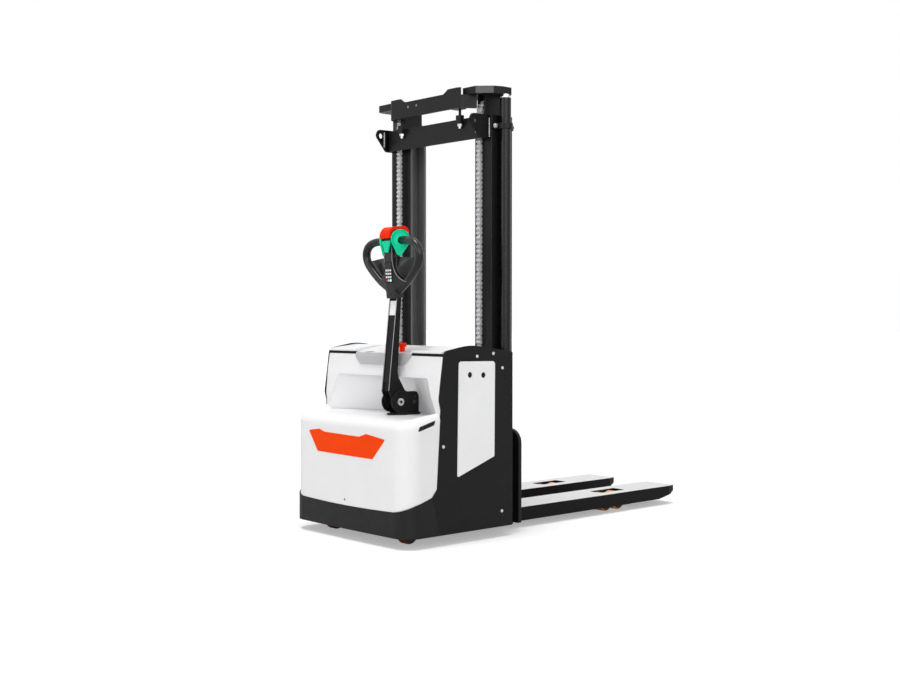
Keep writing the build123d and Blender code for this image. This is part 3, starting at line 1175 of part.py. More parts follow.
with BuildPart() as drive_wheel:
    bar_x(-DRIVE_WHEEL_WIDTH / 2, DRIVE_WHEEL_WIDTH / 2, DRIVE_Y, DRIVE_WHEEL_D / 2, DRIVE_WHEEL_D / 2)
    fillet(drive_wheel.edges().filter_by(GeomType.CIRCLE), 4.0)
    bar_x(-DRIVE_WHEEL_WIDTH / 2, DRIVE_WHEEL_WIDTH / 2, DRIVE_Y, DRIVE_WHEEL_D / 2, DRIVE_AXLE_D / 2 + PIN_GAP,
          Mode.SUBTRACT)
save(drive_wheel, "drive_wheel")


def sprocket_disc(x, y, bore):
    """Adds a plain sprocket disc of the steering chain, with a bore for its shaft."""
    bar_z(x, y, SPROCKET_Z, SPROCKET_Z + SPROCKET, SPROCKET_R)
    if bore:
        bar_z(x, y, SPROCKET_Z, SPROCKET_Z + SPROCKET, bore / 2 + PIN_GAP, Mode.SUBTRACT)


# Steering sprockets, one on the tiller column and one on the drive unit
with BuildPart() as column_sprocket:
    sprocket_disc(TILLER_X, TILLER_Y, COLUMN_SHAFT_D)
save(column_sprocket, "column_sprocket")

with BuildPart() as drive_sprocket:
    sprocket_disc(0.0, DRIVE_Y, 0.0)
    bar_z(0, DRIVE_Y, MOTOR_TOP + BRAKE_HEIGHT, SPROCKET_Z, DRIVE_SHAFT_D / 2)
save(drive_sprocket, "drive_sprocket")

# Steering chain: closed loop round both sprockets
with BuildPart() as steering_chain:
    chain_r = SPROCKET_R + STEER_CHAIN_GAP
    span = Vector(TILLER_X, TILLER_Y - DRIVE_Y, 0)
    middle = (TILLER_X / 2, (TILLER_Y + DRIVE_Y) / 2)
    turn = Vector(1, 0, 0).get_signed_angle(span, Vector(0, 0, 1))
    with BuildSketch(Plane.XY.offset(SPROCKET_Z)):
        with Locations(Location((middle[0], middle[1], 0), (0, 0, turn))):
            SlotCenterToCenter(span.length, 2 * (chain_r + STEER_CHAIN))
            SlotCenterToCenter(span.length, 2 * chain_r, mode=Mode.SUBTRACT)
    extrude(amount=SPROCKET)
save(steering_chain, "steering_chain")

# Casters: stem and crown over two cheeks with an axle, and a wheel
for side in (-1, 1):
    caster_x = side * CASTER_X
    wheel_y = CASTER_Y + CASTER_TRAIL
    wheel_z = CASTER_D / 2
    with BuildPart() as caster_fork:
        bar_z(caster_x, CASTER_Y, CASTER_CROWN_TOP, DECK_Z + DECK, CASTER_STEM_D / 2)
        half = CASTER_WIDTH / 2 + CASTER_SIDE_GAP + CASTER_CHEEK
        block(caster_x - half, caster_x + half, CASTER_Y - CASTER_STEM_D, wheel_y + CASTER_AXLE_D,
              CASTER_CROWN_TOP - CASTER_CROWN, CASTER_CROWN_TOP)
        for cheek in (-1, 1):
            inner_face = caster_x + cheek * (half - CASTER_CHEEK)
            outer_face = caster_x + cheek * half
            cheek_outline = [
                (CASTER_Y - CASTER_STEM_D, CASTER_CROWN_TOP - CASTER_CROWN),
                (wheel_y + CASTER_AXLE_D, CASTER_CROWN_TOP - CASTER_CROWN),
                (wheel_y + CASTER_AXLE_D, wheel_z - CASTER_AXLE_D),
                (wheel_y - CASTER_AXLE_D, wheel_z - CASTER_AXLE_D),
            ]
            slab_yz(cheek_outline, inner_face, outer_face)
        bar_x(caster_x - half, caster_x + half, wheel_y, wheel_z, CASTER_AXLE_D / 2)
    save(caster_fork, f"caster_fork_{side_name(side)}")
    with BuildPart() as caster_wheel:
        x0 = caster_x - CASTER_WIDTH / 2
        bar_x(x0, x0 + CASTER_WIDTH, wheel_y, wheel_z, CASTER_D / 2)
        fillet(caster_wheel.edges().filter_by(GeomType.CIRCLE), 5.0)
        bar_x(x0, x0 + CASTER_WIDTH, wheel_y, wheel_z, CASTER_AXLE_D / 2 + PIN_GAP, Mode.SUBTRACT)
    save(caster_wheel, f"caster_wheel_{side_name(side)}")

# Tiller base: turntable plate on the steering column, with two ears for the tiller pin
BASE_BOTTOM = BOWL_FLOOR + SLIDE_GAP
BASE_TOP = BASE_BOTTOM + BASE_PLATE
with BuildPart() as tiller_base:
    bar_z(TILLER_X, TILLER_Y, COLUMN_SHAFT_BOTTOM, BASE_TOP, COLUMN_SHAFT_D / 2)
    plate_front = PIN_Y - BASE_PLATE_FRONT
    plate_back = PIN_Y + EAR_BACK + BASE_PLATE_BACK
    with BuildSketch(Plane.XY.offset(BASE_BOTTOM)) as base_plan:
        with Locations((TILLER_X, (plate_front + plate_back) / 2)):
            RectangleRounded(2 * BASE_PLATE_HALF, plate_back - plate_front, BASE_PLATE_HALF - SEAM)
        with Locations((TILLER_X, TILLER_Y)):
            Circle(BASE_LOBE_R)
        with Locations((TILLER_X, (TILLER_Y + plate_front + BASE_PLATE_HALF) / 2)):
            Rectangle(2 * BASE_LOBE_R, plate_front + BASE_PLATE_HALF - TILLER_Y)
    extrude(amount=BASE_PLATE)
    for side in (-1, 1):
        ear_in, ear_out = sorted((TILLER_X + side * EAR_INSIDE, TILLER_X + side * (EAR_INSIDE + EAR)))
        ear_outline = [
            (PIN_Y, BASE_TOP),
            (PIN_Y + EAR_BACK, BASE_TOP),
            (PIN_Y + EAR_BACK, PIN_Z + EAR_TOP),
            (PIN_Y, PIN_Z + EAR_TOP),
        ]
        slab_yz(ear_outline, ear_in, ear_out, radius=[0.0, 0.0, EAR_CORNER, 0.0])
        bar_x(ear_in, ear_out, PIN_Y, PIN_Z, EAR_R)
        bar_x(ear_in, ear_out, PIN_Y, PIN_Z, PIN_D / 2 + PIN_GAP, Mode.SUBTRACT)
save(tiller_base, "tiller_base")

with BuildPart() as tiller_pin:
    reach = EAR_INSIDE + EAR + SLIDE_GAP
    bar_x(TILLER_X - reach, TILLER_X + reach, PIN_Y, PIN_Z, PIN_D / 2)
    for side in (-1, 1):
        head_in, head_out = sorted((TILLER_X + side * reach, TILLER_X + side * (reach + PIN_HEAD)))
        bar_x(head_in, head_out, PIN_Y, PIN_Z, PIN_HEAD_D / 2)
save(tiller_pin, "tiller_pin")

# Tiller arm: folded channel that widens at its foot round the pin, its top cut square to the control head
LEAN = radians(HEAD_TILT)
ARM_TOP_SLOPE = (ARM_TOP_FRONT + ARM_TOP_BACK) / 2 * tan(LEAN)
ARM_OUTLINE = [
    (PIN_Y - 20.0, PIN_Z - 26.0),
    (PIN_Y - ARM_FOOT_FRONT, PIN_Z + ARM_FOOT_RISE),
    (PIN_Y - ARM_TOP_FRONT, PIN_Z + ARM_LENGTH + ARM_TOP_SLOPE),
    (PIN_Y + ARM_TOP_BACK, PIN_Z + ARM_LENGTH - ARM_TOP_SLOPE),
    (PIN_Y - 6.0, PIN_Z + ARM_WAIST_Z),
    (PIN_Y + ARM_FLARE, PIN_Z + EAR_TOP),
    (PIN_Y + 20.0, PIN_Z - 20.0),
]


def arm_front(rise, depth):
    """A point behind the arm's front edge at a height above the pin."""
    share = (rise - ARM_FOOT_RISE) / (ARM_LENGTH - ARM_FOOT_RISE)
    return (PIN_Y - ARM_FOOT_FRONT + share * (ARM_FOOT_FRONT - ARM_TOP_FRONT) + depth, PIN_Z + rise)


with BuildPart() as tiller_arm:
    for side in (-1, 1):
        x_in, x_out = sorted((TILLER_X + side * (ARM_HALF - ARM_SHEET), TILLER_X + side * ARM_HALF))
        slab_yz(ARM_OUTLINE, x_in, x_out, radius=[8.0, 10.0, 2.0, 2.0, 60.0, 4.0, 8.0])
    web = [
        arm_front(ARM_FOOT_RISE, 2 * ARM_SHEET),
        arm_front(ARM_LENGTH - ARM_SHEET, 2 * ARM_SHEET),
        arm_front(ARM_LENGTH - ARM_SHEET, 3 * ARM_SHEET),
        arm_front(ARM_FOOT_RISE, 3 * ARM_SHEET),
    ]
    slab_yz(web, TILLER_X - ARM_HALF, TILLER_X + ARM_HALF)
    bar_x(TILLER_X - ARM_HALF, TILLER_X + ARM_HALF, PIN_Y, PIN_Z, ARM_BUSH_D / 2)
    bar_x(TILLER_X - ARM_HALF, TILLER_X + ARM_HALF, PIN_Y, PIN_Z, PIN_D / 2 + PIN_GAP, Mode.SUBTRACT)
save(tiller_arm, "tiller_arm")

# Arm cover: strip of plastic that closes the front of the channel
with BuildPart() as arm_cover:
    strip = [
        arm_front(ARM_FOOT_RISE + ARM_FLARE, 2 * ARM_SHEET - ARM_COVER),
        arm_front(ARM_LENGTH - ARM_FLARE, 2 * ARM_SHEET - ARM_COVER),
        arm_front(ARM_LENGTH - ARM_FLARE, 2 * ARM_SHEET),
        arm_front(ARM_FOOT_RISE + ARM_FLARE, 2 * ARM_SHEET),
    ]
    cover_half = ARM_HALF - ARM_SHEET - SLIDE_GAP
    slab_yz(strip, TILLER_X - cover_half, TILLER_X + cover_half)
save(arm_cover, "arm_cover")

# Control head: plane at the top of the arm that tilts towards the operator
HEAD_UP = Vector(0, sin(LEAN), cos(LEAN))
HEAD_OUT = Vector(0, -cos(LEAN), sin(LEAN))
HEAD_BASE = Vector(TILLER_X, PIN_Y + (ARM_TOP_BACK - ARM_TOP_FRONT) / 2, PIN_Z + ARM_LENGTH)
HEAD = Plane(origin=HEAD_BASE, x_dir=(1, 0, 0), z_dir=HEAD_OUT)


def head_point(u, v, w=0.0):
    """A point of the control head from its own plane's coordinates."""
    return HEAD_BASE + Vector(u, 0, 0) + HEAD_UP * v + HEAD_OUT * w


def head_side_plane(u):
    """A plane across the head at one distance from its middle: out to the operator and up along the arm."""
    return Plane(origin=head_point(u, 0), x_dir=HEAD_OUT, z_dir=(-1, 0, 0))


STEM_LEAN = Vector(HEAD_UP * (STEM_CREST - STEM_KNEE) + HEAD_OUT * (STEM_TOP_FRONT - STEM_FRONT)).normalized()
STEM_OUT = Vector(1, 0, 0).cross(STEM_LEAN)


def stem_plane(rise, out):
    """A plane along the stem's leaning front face, at a distance up that face and out from it."""
    origin = head_point(0, STEM_KNEE, STEM_FRONT) + STEM_LEAN * rise + STEM_OUT * out
    return Plane(origin=origin, x_dir=(1, 0, 0), z_dir=STEM_OUT)


def head_slab(points, u0, u1, mode=Mode.ADD, radius=0.0):
    """Adds or cuts a prism across the head with an (out, up) outline."""
    add(prism(head_side_plane(u1), points, u1 - u0, radius), mode=mode)


def head_disc(v, w, r, u0, u1, mode=Mode.ADD):
    """Adds or cuts a round bar across the head."""
    with BuildPart() as disc:
        with BuildSketch(head_side_plane(u1)):
            with Locations((w, v)):
                Circle(r)
        extrude(amount=u1 - u0)
    add(disc.part, mode=mode)


HEAD_BODY = [
    (-HEAD_NECK_HALF, 0.0),
    (HEAD_NECK_HALF, 0.0),
    (HEAD_NECK_HALF + 4.0, 36.0),
    (86.0, 66.0),
    (HEAD_HALF - 14.0, HEAD_BODY_TOP - 24.0),
    (HEAD_HALF + 2.0, HEAD_BODY_TOP),
    (-HEAD_HALF - 2.0, HEAD_BODY_TOP),
    (14.0 - HEAD_HALF, HEAD_BODY_TOP - 24.0),
    (-86.0, 66.0),
    (-HEAD_NECK_HALF - 4.0, 36.0),
]
LOOP_PATH = [
    (STEM_HALF - 8.0, LOOP_AXIS_V, WING_AXIS_W),
    (STEM_HALF + 58.0, LOOP_AXIS_V, WING_AXIS_W),
    (HEAD_HALF - 26.0, LOOP_AXIS_V, LOOP_W - 2.0),
    (HEAD_HALF + 2.0, LOOP_SHOULDER_V, LOOP_W),
    (HEAD_HALF - 30.0, LOOP_SHOULDER_V - 52.0, LOOP_W),
]
LOOP_BENDS = [60.0, 36.0, 34.0]
with BuildPart() as tiller_head:
    with BuildSketch(HEAD.offset(HEAD_BODY_FRONT)):
        with BuildLine():
            FilletPolyline(*HEAD_BODY, radius=[3.0, 3.0, 12.0, 30.0, 40.0, 8.0, 8.0, 40.0, 30.0, 12.0], close=True)
        make_face()
    extrude(amount=-HEAD_BODY_DEPTH)
    rims = tiller_head.faces().filter_by(lambda f: abs(f.normal_at().dot(HEAD_OUT)) > 0.99).edges()
    fillet(rims, HEAD_BODY_DEPTH / 4)
    for side in (-1, 1):
        with BuildLine() as loop:
            FilletPolyline(*[head_point(side * u, v, w) for u, v, w in LOOP_PATH], radius=LOOP_BENDS)
        with BuildSketch(Plane(origin=loop.line @ 0, z_dir=loop.line % 0)):
            Circle(HEAD_LOOP_R)
        sweep(path=loop.line)
    stem = [
        (-STEM_BACK, STEM_FOOT),
        (STEM_FRONT, STEM_FOOT),
        (STEM_FRONT, STEM_KNEE),
        (STEM_TOP_FRONT, STEM_CREST),
        (0.0, STEM_TOP),
        (-STEM_BACK, STEM_TOP),
    ]
    head_slab(stem, -STEM_HALF, STEM_HALF, radius=[0.0, 0.0, 0.0, 5.0, 5.0, 10.0])
    head_disc(ROCKER_V, -STEM_BACK, ROCKER_R + ROCKER_GAP, -ROCKER_HALF - ROCKER_GAP, ROCKER_HALF + ROCKER_GAP,
              Mode.SUBTRACT)
    post_w = (STEM_TOP_FRONT - STEM_BACK) / 2 - STEM_TOP_FRONT / 2
    with BuildSketch(Plane(origin=head_point(0, STEM_TOP, post_w), x_dir=(1, 0, 0), z_dir=HEAD_UP)):
        Circle(SAFETY_POST_D / 2 + PIN_GAP)
    extrude(amount=-SAFETY_POST - SAFETY_TRAVEL - SEAM, mode=Mode.SUBTRACT)
    horn_v = (HORN_TOP + HORN_BOTTOM) / 2
    with BuildSketch(stem_plane(horn_v, 0.0)):
        Circle(HORN_PLUNGER_D / 2 + PIN_GAP)
    extrude(amount=-HORN_PLUNGER - HORN_TRAVEL, mode=Mode.SUBTRACT)
save(tiller_head, "tiller_head")

# Keypad panel on the front of the head
with BuildPart() as keypad:
    with BuildSketch(stem_plane((KEYPAD_TOP + KEYPAD_BOTTOM) / 2, 0.0)):
        RectangleRounded(2 * KEYPAD_HALF, KEYPAD_TOP - KEYPAD_BOTTOM, 6.0)
    extrude(amount=KEYPAD)
save(keypad, "keypad")

# Throttle wings: swept-back petals that rock together round the roots of the hand loops
WING_IN = STEM_HALF + WING_GAP
WING_U = WING_IN + (WING_AHEAD + WING_R) * sin(WING_SWEEP) + WING_THICK / 2 * cos(WING_SWEEP)
with BuildPart() as throttle_wings:
    for side in (-1, 1):
        along = HEAD_OUT * cos(WING_SWEEP) - Vector(side, 0, 0) * sin(WING_SWEEP)
        facing = along.cross(HEAD_UP)
        middle = head_point(side * WING_U, LOOP_AXIS_V, WING_AXIS_W)
        leaf = Plane(origin=middle - facing * (WING_THICK / 2), x_dir=along, z_dir=facing)
        with BuildSketch(leaf):
            with Locations((WING_AHEAD, WING_RISE)):
                Circle(WING_R)
        extrude(amount=WING_THICK)
        petal = [
            (WING_AHEAD + WING_R, WING_RISE),
            (WING_TIP_OUT + WING_TIP_R, -WING_TIP_DOWN),
            (WING_TIP_OUT - WING_TIP_R, -WING_TIP_DOWN),
            (WING_AHEAD - WING_R, WING_RISE),
        ]
        add(prism(leaf, petal, WING_THICK, [0.0, WING_TIP_R - SEAM, WING_TIP_R - SEAM, 0.0]))
        u0, u1 = sorted((side * WING_IN, side * (WING_U + WING_R)))
        head_disc(LOOP_AXIS_V, WING_AXIS_W, HEAD_LOOP_R + SLIDE_GAP, u0, u1, Mode.SUBTRACT)
save(throttle_wings, "throttle_wings")

# Safety button: red saddle over the top of the head, on a post that slides in the stem
with BuildPart() as belly_button:
    saddle = [
        (SAFETY_FRONT, SAFETY_FRONT_END),
        (SAFETY_FRONT, SAFETY_TOP),
        (SAFETY_BACK, SAFETY_TOP),
        (SAFETY_BACK, SAFETY_BACK_END),
        (SAFETY_BACK + SAFETY_WALL, SAFETY_BACK_END),
        (SAFETY_BACK + SAFETY_WALL, SAFETY_TOP - SAFETY_WALL),
        (SAFETY_FRONT - SAFETY_WALL, SAFETY_TOP - SAFETY_WALL),
        (SAFETY_FRONT - SAFETY_WALL, SAFETY_FRONT_END),
    ]
    saddle_bends = [
        4.0,
        SAFETY_FRONT_R,
        SAFETY_BACK_R,
        4.0,
        4.0,
        SAFETY_BACK_R - SAFETY_WALL,
        SAFETY_FRONT_R - SAFETY_WALL,
        4.0,
    ]
    head_slab(saddle, -SAFETY_HALF, SAFETY_HALF, radius=saddle_bends)
    with BuildSketch(Plane(origin=head_point(0, STEM_TOP - SAFETY_POST, post_w), x_dir=(1, 0, 0), z_dir=HEAD_UP)):
        Circle(SAFETY_POST_D / 2)
    extrude(amount=SAFETY_TOP - SAFETY_WALL / 2 - STEM_TOP + SAFETY_POST)
save(belly_button, "belly_button")

# Horn tongue: tapered button on a plunger in the front of the head
with BuildPart() as horn_button:
    horn_back = HORN_TRAVEL + SLIDE_GAP
    with BuildSketch(stem_plane(0.0, horn_back)):
        with BuildLine():
            FilletPolyline(
                (-HORN_HALF, HORN_TOP),
                (HORN_HALF, HORN_TOP),
                (HORN_TIP_HALF, HORN_BOTTOM),
                (-HORN_TIP_HALF, HORN_BOTTOM),
                radius=[4.0, 4.0, 6.0, 6.0],
                close=True,
            )
        make_face()
    extrude(amount=HORN_THICKNESS)
    with BuildSketch(stem_plane(horn_v, horn_back)):
        Circle(HORN_PLUNGER_D / 2)
    extrude(amount=-HORN_PLUNGER)
save(horn_button, "horn_button")

# Lift and lower rocker: sprung drum in the back of the head
with BuildPart() as lift_rocker:
    head_disc(ROCKER_V, -STEM_BACK, ROCKER_R, -ROCKER_HALF, ROCKER_HALF)
    nub = [
        (-STEM_BACK, ROCKER_V - ROCKER_NUB / 2),
        (-STEM_BACK - ROCKER_R - ROCKER_NUB, ROCKER_V - ROCKER_NUB / 2),
        (-STEM_BACK - ROCKER_R - ROCKER_NUB, ROCKER_V + ROCKER_NUB / 2),
        (-STEM_BACK, ROCKER_V + ROCKER_NUB / 2),
    ]
    head_slab(nub, -ROCKER_HALF, ROCKER_HALF)
save(lift_rocker, "lift_rocker")

# Battery on its floor behind the bulkhead
with BuildPart() as battery:
    block(-BATTERY_HALF, BATTERY_HALF, BATTERY_FRONT, BATTERY_REAR, FOOT_TOP, FOOT_TOP + BATTERY_HEIGHT)
save(battery, "battery")

# Pump unit: oil tank on the deck with the pump motor on top
with BuildPart() as pump_unit:
    deck_top = DECK_Z + DECK
    with Locations((-PUMP_X, PUMP_Y, deck_top + TANK_SIZE[2] / 2)):
        Box(*TANK_SIZE)
    bar_z(-PUMP_X, PUMP_Y, deck_top + TANK_SIZE[2], deck_top + TANK_SIZE[2] + PUMP_MOTOR_HEIGHT, PUMP_MOTOR_D / 2)
save(pump_unit, "pump_unit")

# Motor controller on the deck, with cooling fins along its top
with BuildPart() as controller:
    with Locations((CONTROLLER_X, CONTROLLER_Y, deck_top + CONTROLLER_SIZE[2] / 2)):
        Box(*CONTROLLER_SIZE)
    fin_step = CONTROLLER_SIZE[0] / CONTROLLER_FINS
    for i in range(CONTROLLER_FINS):
        fin_x = CONTROLLER_X - CONTROLLER_SIZE[0] / 2 + (i + 0.5) * fin_step
        block(fin_x - fin_step / 4, fin_x + fin_step / 4, CONTROLLER_Y - CONTROLLER_SIZE[1] / 2,
              CONTROLLER_Y + CONTROLLER_SIZE[1] / 2, deck_top + CONTROLLER_SIZE[2], deck_top + 1.3 * CONTROLLER_SIZE[2])
save(controller, "controller")
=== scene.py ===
"""Looks of the walk-behind pallet stacker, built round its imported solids."""
import json
import math

import bmesh
import bpy
from mathutils import Matrix, Vector
from mathutils.bvhtree import BVHTree


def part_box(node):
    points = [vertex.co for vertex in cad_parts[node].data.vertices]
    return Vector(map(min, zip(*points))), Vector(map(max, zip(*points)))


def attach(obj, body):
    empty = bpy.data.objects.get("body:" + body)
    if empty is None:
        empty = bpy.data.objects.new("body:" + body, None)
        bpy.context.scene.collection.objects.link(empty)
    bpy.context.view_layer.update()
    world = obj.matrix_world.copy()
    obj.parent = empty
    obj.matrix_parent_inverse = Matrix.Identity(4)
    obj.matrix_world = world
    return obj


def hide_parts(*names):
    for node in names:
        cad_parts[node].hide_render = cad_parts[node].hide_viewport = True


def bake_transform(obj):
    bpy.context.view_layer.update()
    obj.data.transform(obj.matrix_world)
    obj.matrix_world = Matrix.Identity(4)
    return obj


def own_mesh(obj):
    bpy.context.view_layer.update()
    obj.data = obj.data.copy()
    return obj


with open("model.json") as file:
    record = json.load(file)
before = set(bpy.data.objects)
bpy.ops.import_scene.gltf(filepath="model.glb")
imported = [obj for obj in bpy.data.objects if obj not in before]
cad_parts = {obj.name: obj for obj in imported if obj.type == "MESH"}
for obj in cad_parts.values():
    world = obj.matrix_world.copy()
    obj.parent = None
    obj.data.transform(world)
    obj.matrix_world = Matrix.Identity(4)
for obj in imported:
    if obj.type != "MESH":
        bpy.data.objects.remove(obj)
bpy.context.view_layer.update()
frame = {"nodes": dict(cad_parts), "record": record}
nodes = frame["nodes"]
scene = bpy.context.scene

# Places of the solids, in metres
FACE_Y = -0.241
FRONT_Y = -0.909
CHAIN_X = 0.265
CHAIN_FRONT_Y = FACE_Y - 0.158
CHAIN_BACK_Y = FACE_Y - 0.033
CHAIN_ANCHOR_Z = 0.620
CARRIAGE_ANCHOR_Z = 0.422
CHAIN_PITCH = 0.01905
CHAIN_WIDTH = 0.023
PULLEY_Z = 1.7775
PULLEY_R = 0.0625
TILLER_X = 0.111
PIN_Y = FACE_Y - 0.493
PIN_Z = 0.570
EAR_HALF = 0.035
HEAD_TILT = math.radians(-6.5)
HEAD_BASE = Vector((TILLER_X, PIN_Y + 0.003, 1.000))
HEAD_ACROSS = Vector((1.0, 0.0, 0.0))
HEAD_UP = Vector((0.0, math.sin(HEAD_TILT), math.cos(HEAD_TILT)))
HEAD_OUT = Vector((0.0, -math.cos(HEAD_TILT), math.sin(HEAD_TILT)))
STEM_HALF = 0.027
STEM_KNEE = 0.060
STEM_FRONT = 0.026
STEM_CREST = 0.246
STEM_TOP_FRONT = 0.014
STEM_TOP = 0.262
STEM_BACK = 0.024
ROCKER_V = 0.150
ROCKER_R = 0.016
ROCKER_HALF = 0.012
WING_AXIS_V = 0.236
WING_AXIS_W = -0.016
WING_SWEEP = math.radians(28.0)
WING_R = 0.040
WING_AHEAD = 0.006
WING_RISE = 0.005
WING_IN = 0.031
WING_THICK = 0.010
WING_U = WING_IN + (WING_AHEAD + WING_R) * math.sin(WING_SWEEP) + WING_THICK / 2 * math.cos(WING_SWEEP)
WING_TIP_OUT = 0.015
WING_TIP_DOWN = 0.049
WING_TIP_R = 0.013
LOOP_R = 0.017
COVER_TOP = 0.761
LID_BOTTOM = 0.773
LID_FRONT = FACE_Y - 0.469
INNER_X = 0.382
LUG_X = 0.311
COLUMN_FRONT_Y = FACE_Y - 0.149
INNER_BAR_FRONT = FACE_Y - 0.242
STOP_BLOCK_BOTTOM = 1.739
CLAMP_Z = 1.722
CLAMP_TAB_X = 0.338
CYLINDER_X = 0.355
CYLINDER_Y = FACE_Y - 0.092
CYLINDER_TOP = 1.839


def srgb(r, g, b):
    """Linear colour of an 8-bit screen colour."""
    def lin(v):
        """One channel."""
        v = v / 255.0
        return v / 12.92 if v <= 0.04045 else ((v + 0.055) / 1.055) ** 2.4
    return (lin(r), lin(g), lin(b), 1.0)


def scaled(colour, factor):
    """A lighter or darker tone of a colour."""
    return tuple(min(1.0, c * factor) for c in colour[:3]) + (1.0,)


# How the noise is stretched, how glossy a clear coat is, and where an edge is lightened as worn paint and
# painted highlight
NOISE_LOW = 0.3
NOISE_HIGH = 0.7
COAT_ROUGHNESS = 0.12
EDGE_WEAR_AND_HIGHLIGHT_FROM = 0.97
EDGE_WEAR_AND_HIGHLIGHT_FULL = 0.75


def surface(name, colour, rough, metal=0.0, coat=0.0, specular=0.3, vary=0.05, patch=5.0, rough_vary=0.05,
            grain=900.0, bump=0.08, bump_depth=0.0003, stretch=(1.0, 1.0, 1.0), soft_edge=0.0,
            edge_wear_and_highlight=0.0, edge_wear_and_highlight_colour=None):
    """A node material: patchy tone, uneven gloss, a fine surface grain and softened edges, lightened as
    worn paint and painted highlight.
    """
    mat = bpy.data.materials.new(name)
    mat.use_nodes = True
    tree = mat.node_tree
    link = tree.links.new
    bsdf = tree.nodes["Principled BSDF"]
    bsdf.inputs["Metallic"].default_value = metal
    bsdf.inputs["Specular IOR Level"].default_value = specular
    if coat:
        bsdf.inputs["Coat Weight"].default_value = coat
        bsdf.inputs["Coat Roughness"].default_value = COAT_ROUGHNESS
    coords = tree.nodes.new("ShaderNodeTexCoord")
    place = tree.nodes.new("ShaderNodeMapping")
    place.inputs["Scale"].default_value = stretch
    link(coords.outputs["Object"], place.inputs["Vector"])

    def noise(scale, detail):
        """A noise in the object's own coordinates."""
        node = tree.nodes.new("ShaderNodeTexNoise")
        node.inputs["Scale"].default_value = scale
        node.inputs["Detail"].default_value = detail
        link(place.outputs["Vector"], node.inputs["Vector"])
        return node

    def spread(source, low, high):
        """The middle of a noise, stretched over a range."""
        node = tree.nodes.new("ShaderNodeMapRange")
        node.inputs["From Min"].default_value = NOISE_LOW
        node.inputs["From Max"].default_value = NOISE_HIGH
        node.inputs["To Min"].default_value = low
        node.inputs["To Max"].default_value = high
        link(source.outputs["Fac"], node.inputs["Value"])
        return node.outputs["Result"]

    mix = tree.nodes.new("ShaderNodeMix")
    mix.data_type = "RGBA"
    mix.inputs["A"].default_value = scaled(colour, 1.0 - vary)
    mix.inputs["B"].default_value = scaled(colour, 1.0 + vary)
    link(spread(noise(patch, 4.0), 0.0, 1.0), mix.inputs["Factor"])
    paint = mix.outputs["Result"]

    gloss = spread(noise(patch * 7.0, 3.0), max(0.02, rough - rough_vary), min(1.0, rough + rough_vary))
    link(gloss, bsdf.inputs["Roughness"])

    fine = noise(grain, 2.0)
    raise_ = tree.nodes.new("ShaderNodeBump")
    raise_.inputs["Strength"].default_value = bump
    raise_.inputs["Distance"].default_value = bump_depth
    link(fine.outputs["Fac"], raise_.inputs["Height"])
    if soft_edge:
        bevel = tree.nodes.new("ShaderNodeBevel")
        bevel.samples = 4
        bevel.inputs["Radius"].default_value = soft_edge
        link(bevel.outputs["Normal"], raise_.inputs["Normal"])
        # Lighter edges: worn paint, and a painted highlight along the rounded edges
        if edge_wear_and_highlight:
            flat = tree.nodes.new("ShaderNodeNewGeometry")
            dot = tree.nodes.new("ShaderNodeVectorMath")
            dot.operation = "DOT_PRODUCT"
            link(bevel.outputs["Normal"], dot.inputs[0])
            link(flat.outputs["Normal"], dot.inputs[1])
            edge = tree.nodes.new("ShaderNodeMapRange")
            edge.inputs["From Min"].default_value = EDGE_WEAR_AND_HIGHLIGHT_FROM
            edge.inputs["From Max"].default_value = EDGE_WEAR_AND_HIGHLIGHT_FULL
            edge.inputs["To Min"].default_value = 0.0
            edge.inputs["To Max"].default_value = edge_wear_and_highlight
            link(dot.outputs["Value"], edge.inputs["Value"])
            worn_and_lit_edges = tree.nodes.new("ShaderNodeMix")
            worn_and_lit_edges.data_type = "RGBA"
            worn_and_lit_edges.inputs["B"].default_value = edge_wear_and_highlight_colour or scaled(colour, 3.0)
            link(edge.outputs["Result"], worn_and_lit_edges.inputs["Factor"])
            link(paint, worn_and_lit_edges.inputs["A"])
            paint = worn_and_lit_edges.outputs["Result"]
    link(raise_.outputs["Normal"], bsdf.inputs["Normal"])
    link(paint, bsdf.inputs["Base Color"])
    return mat


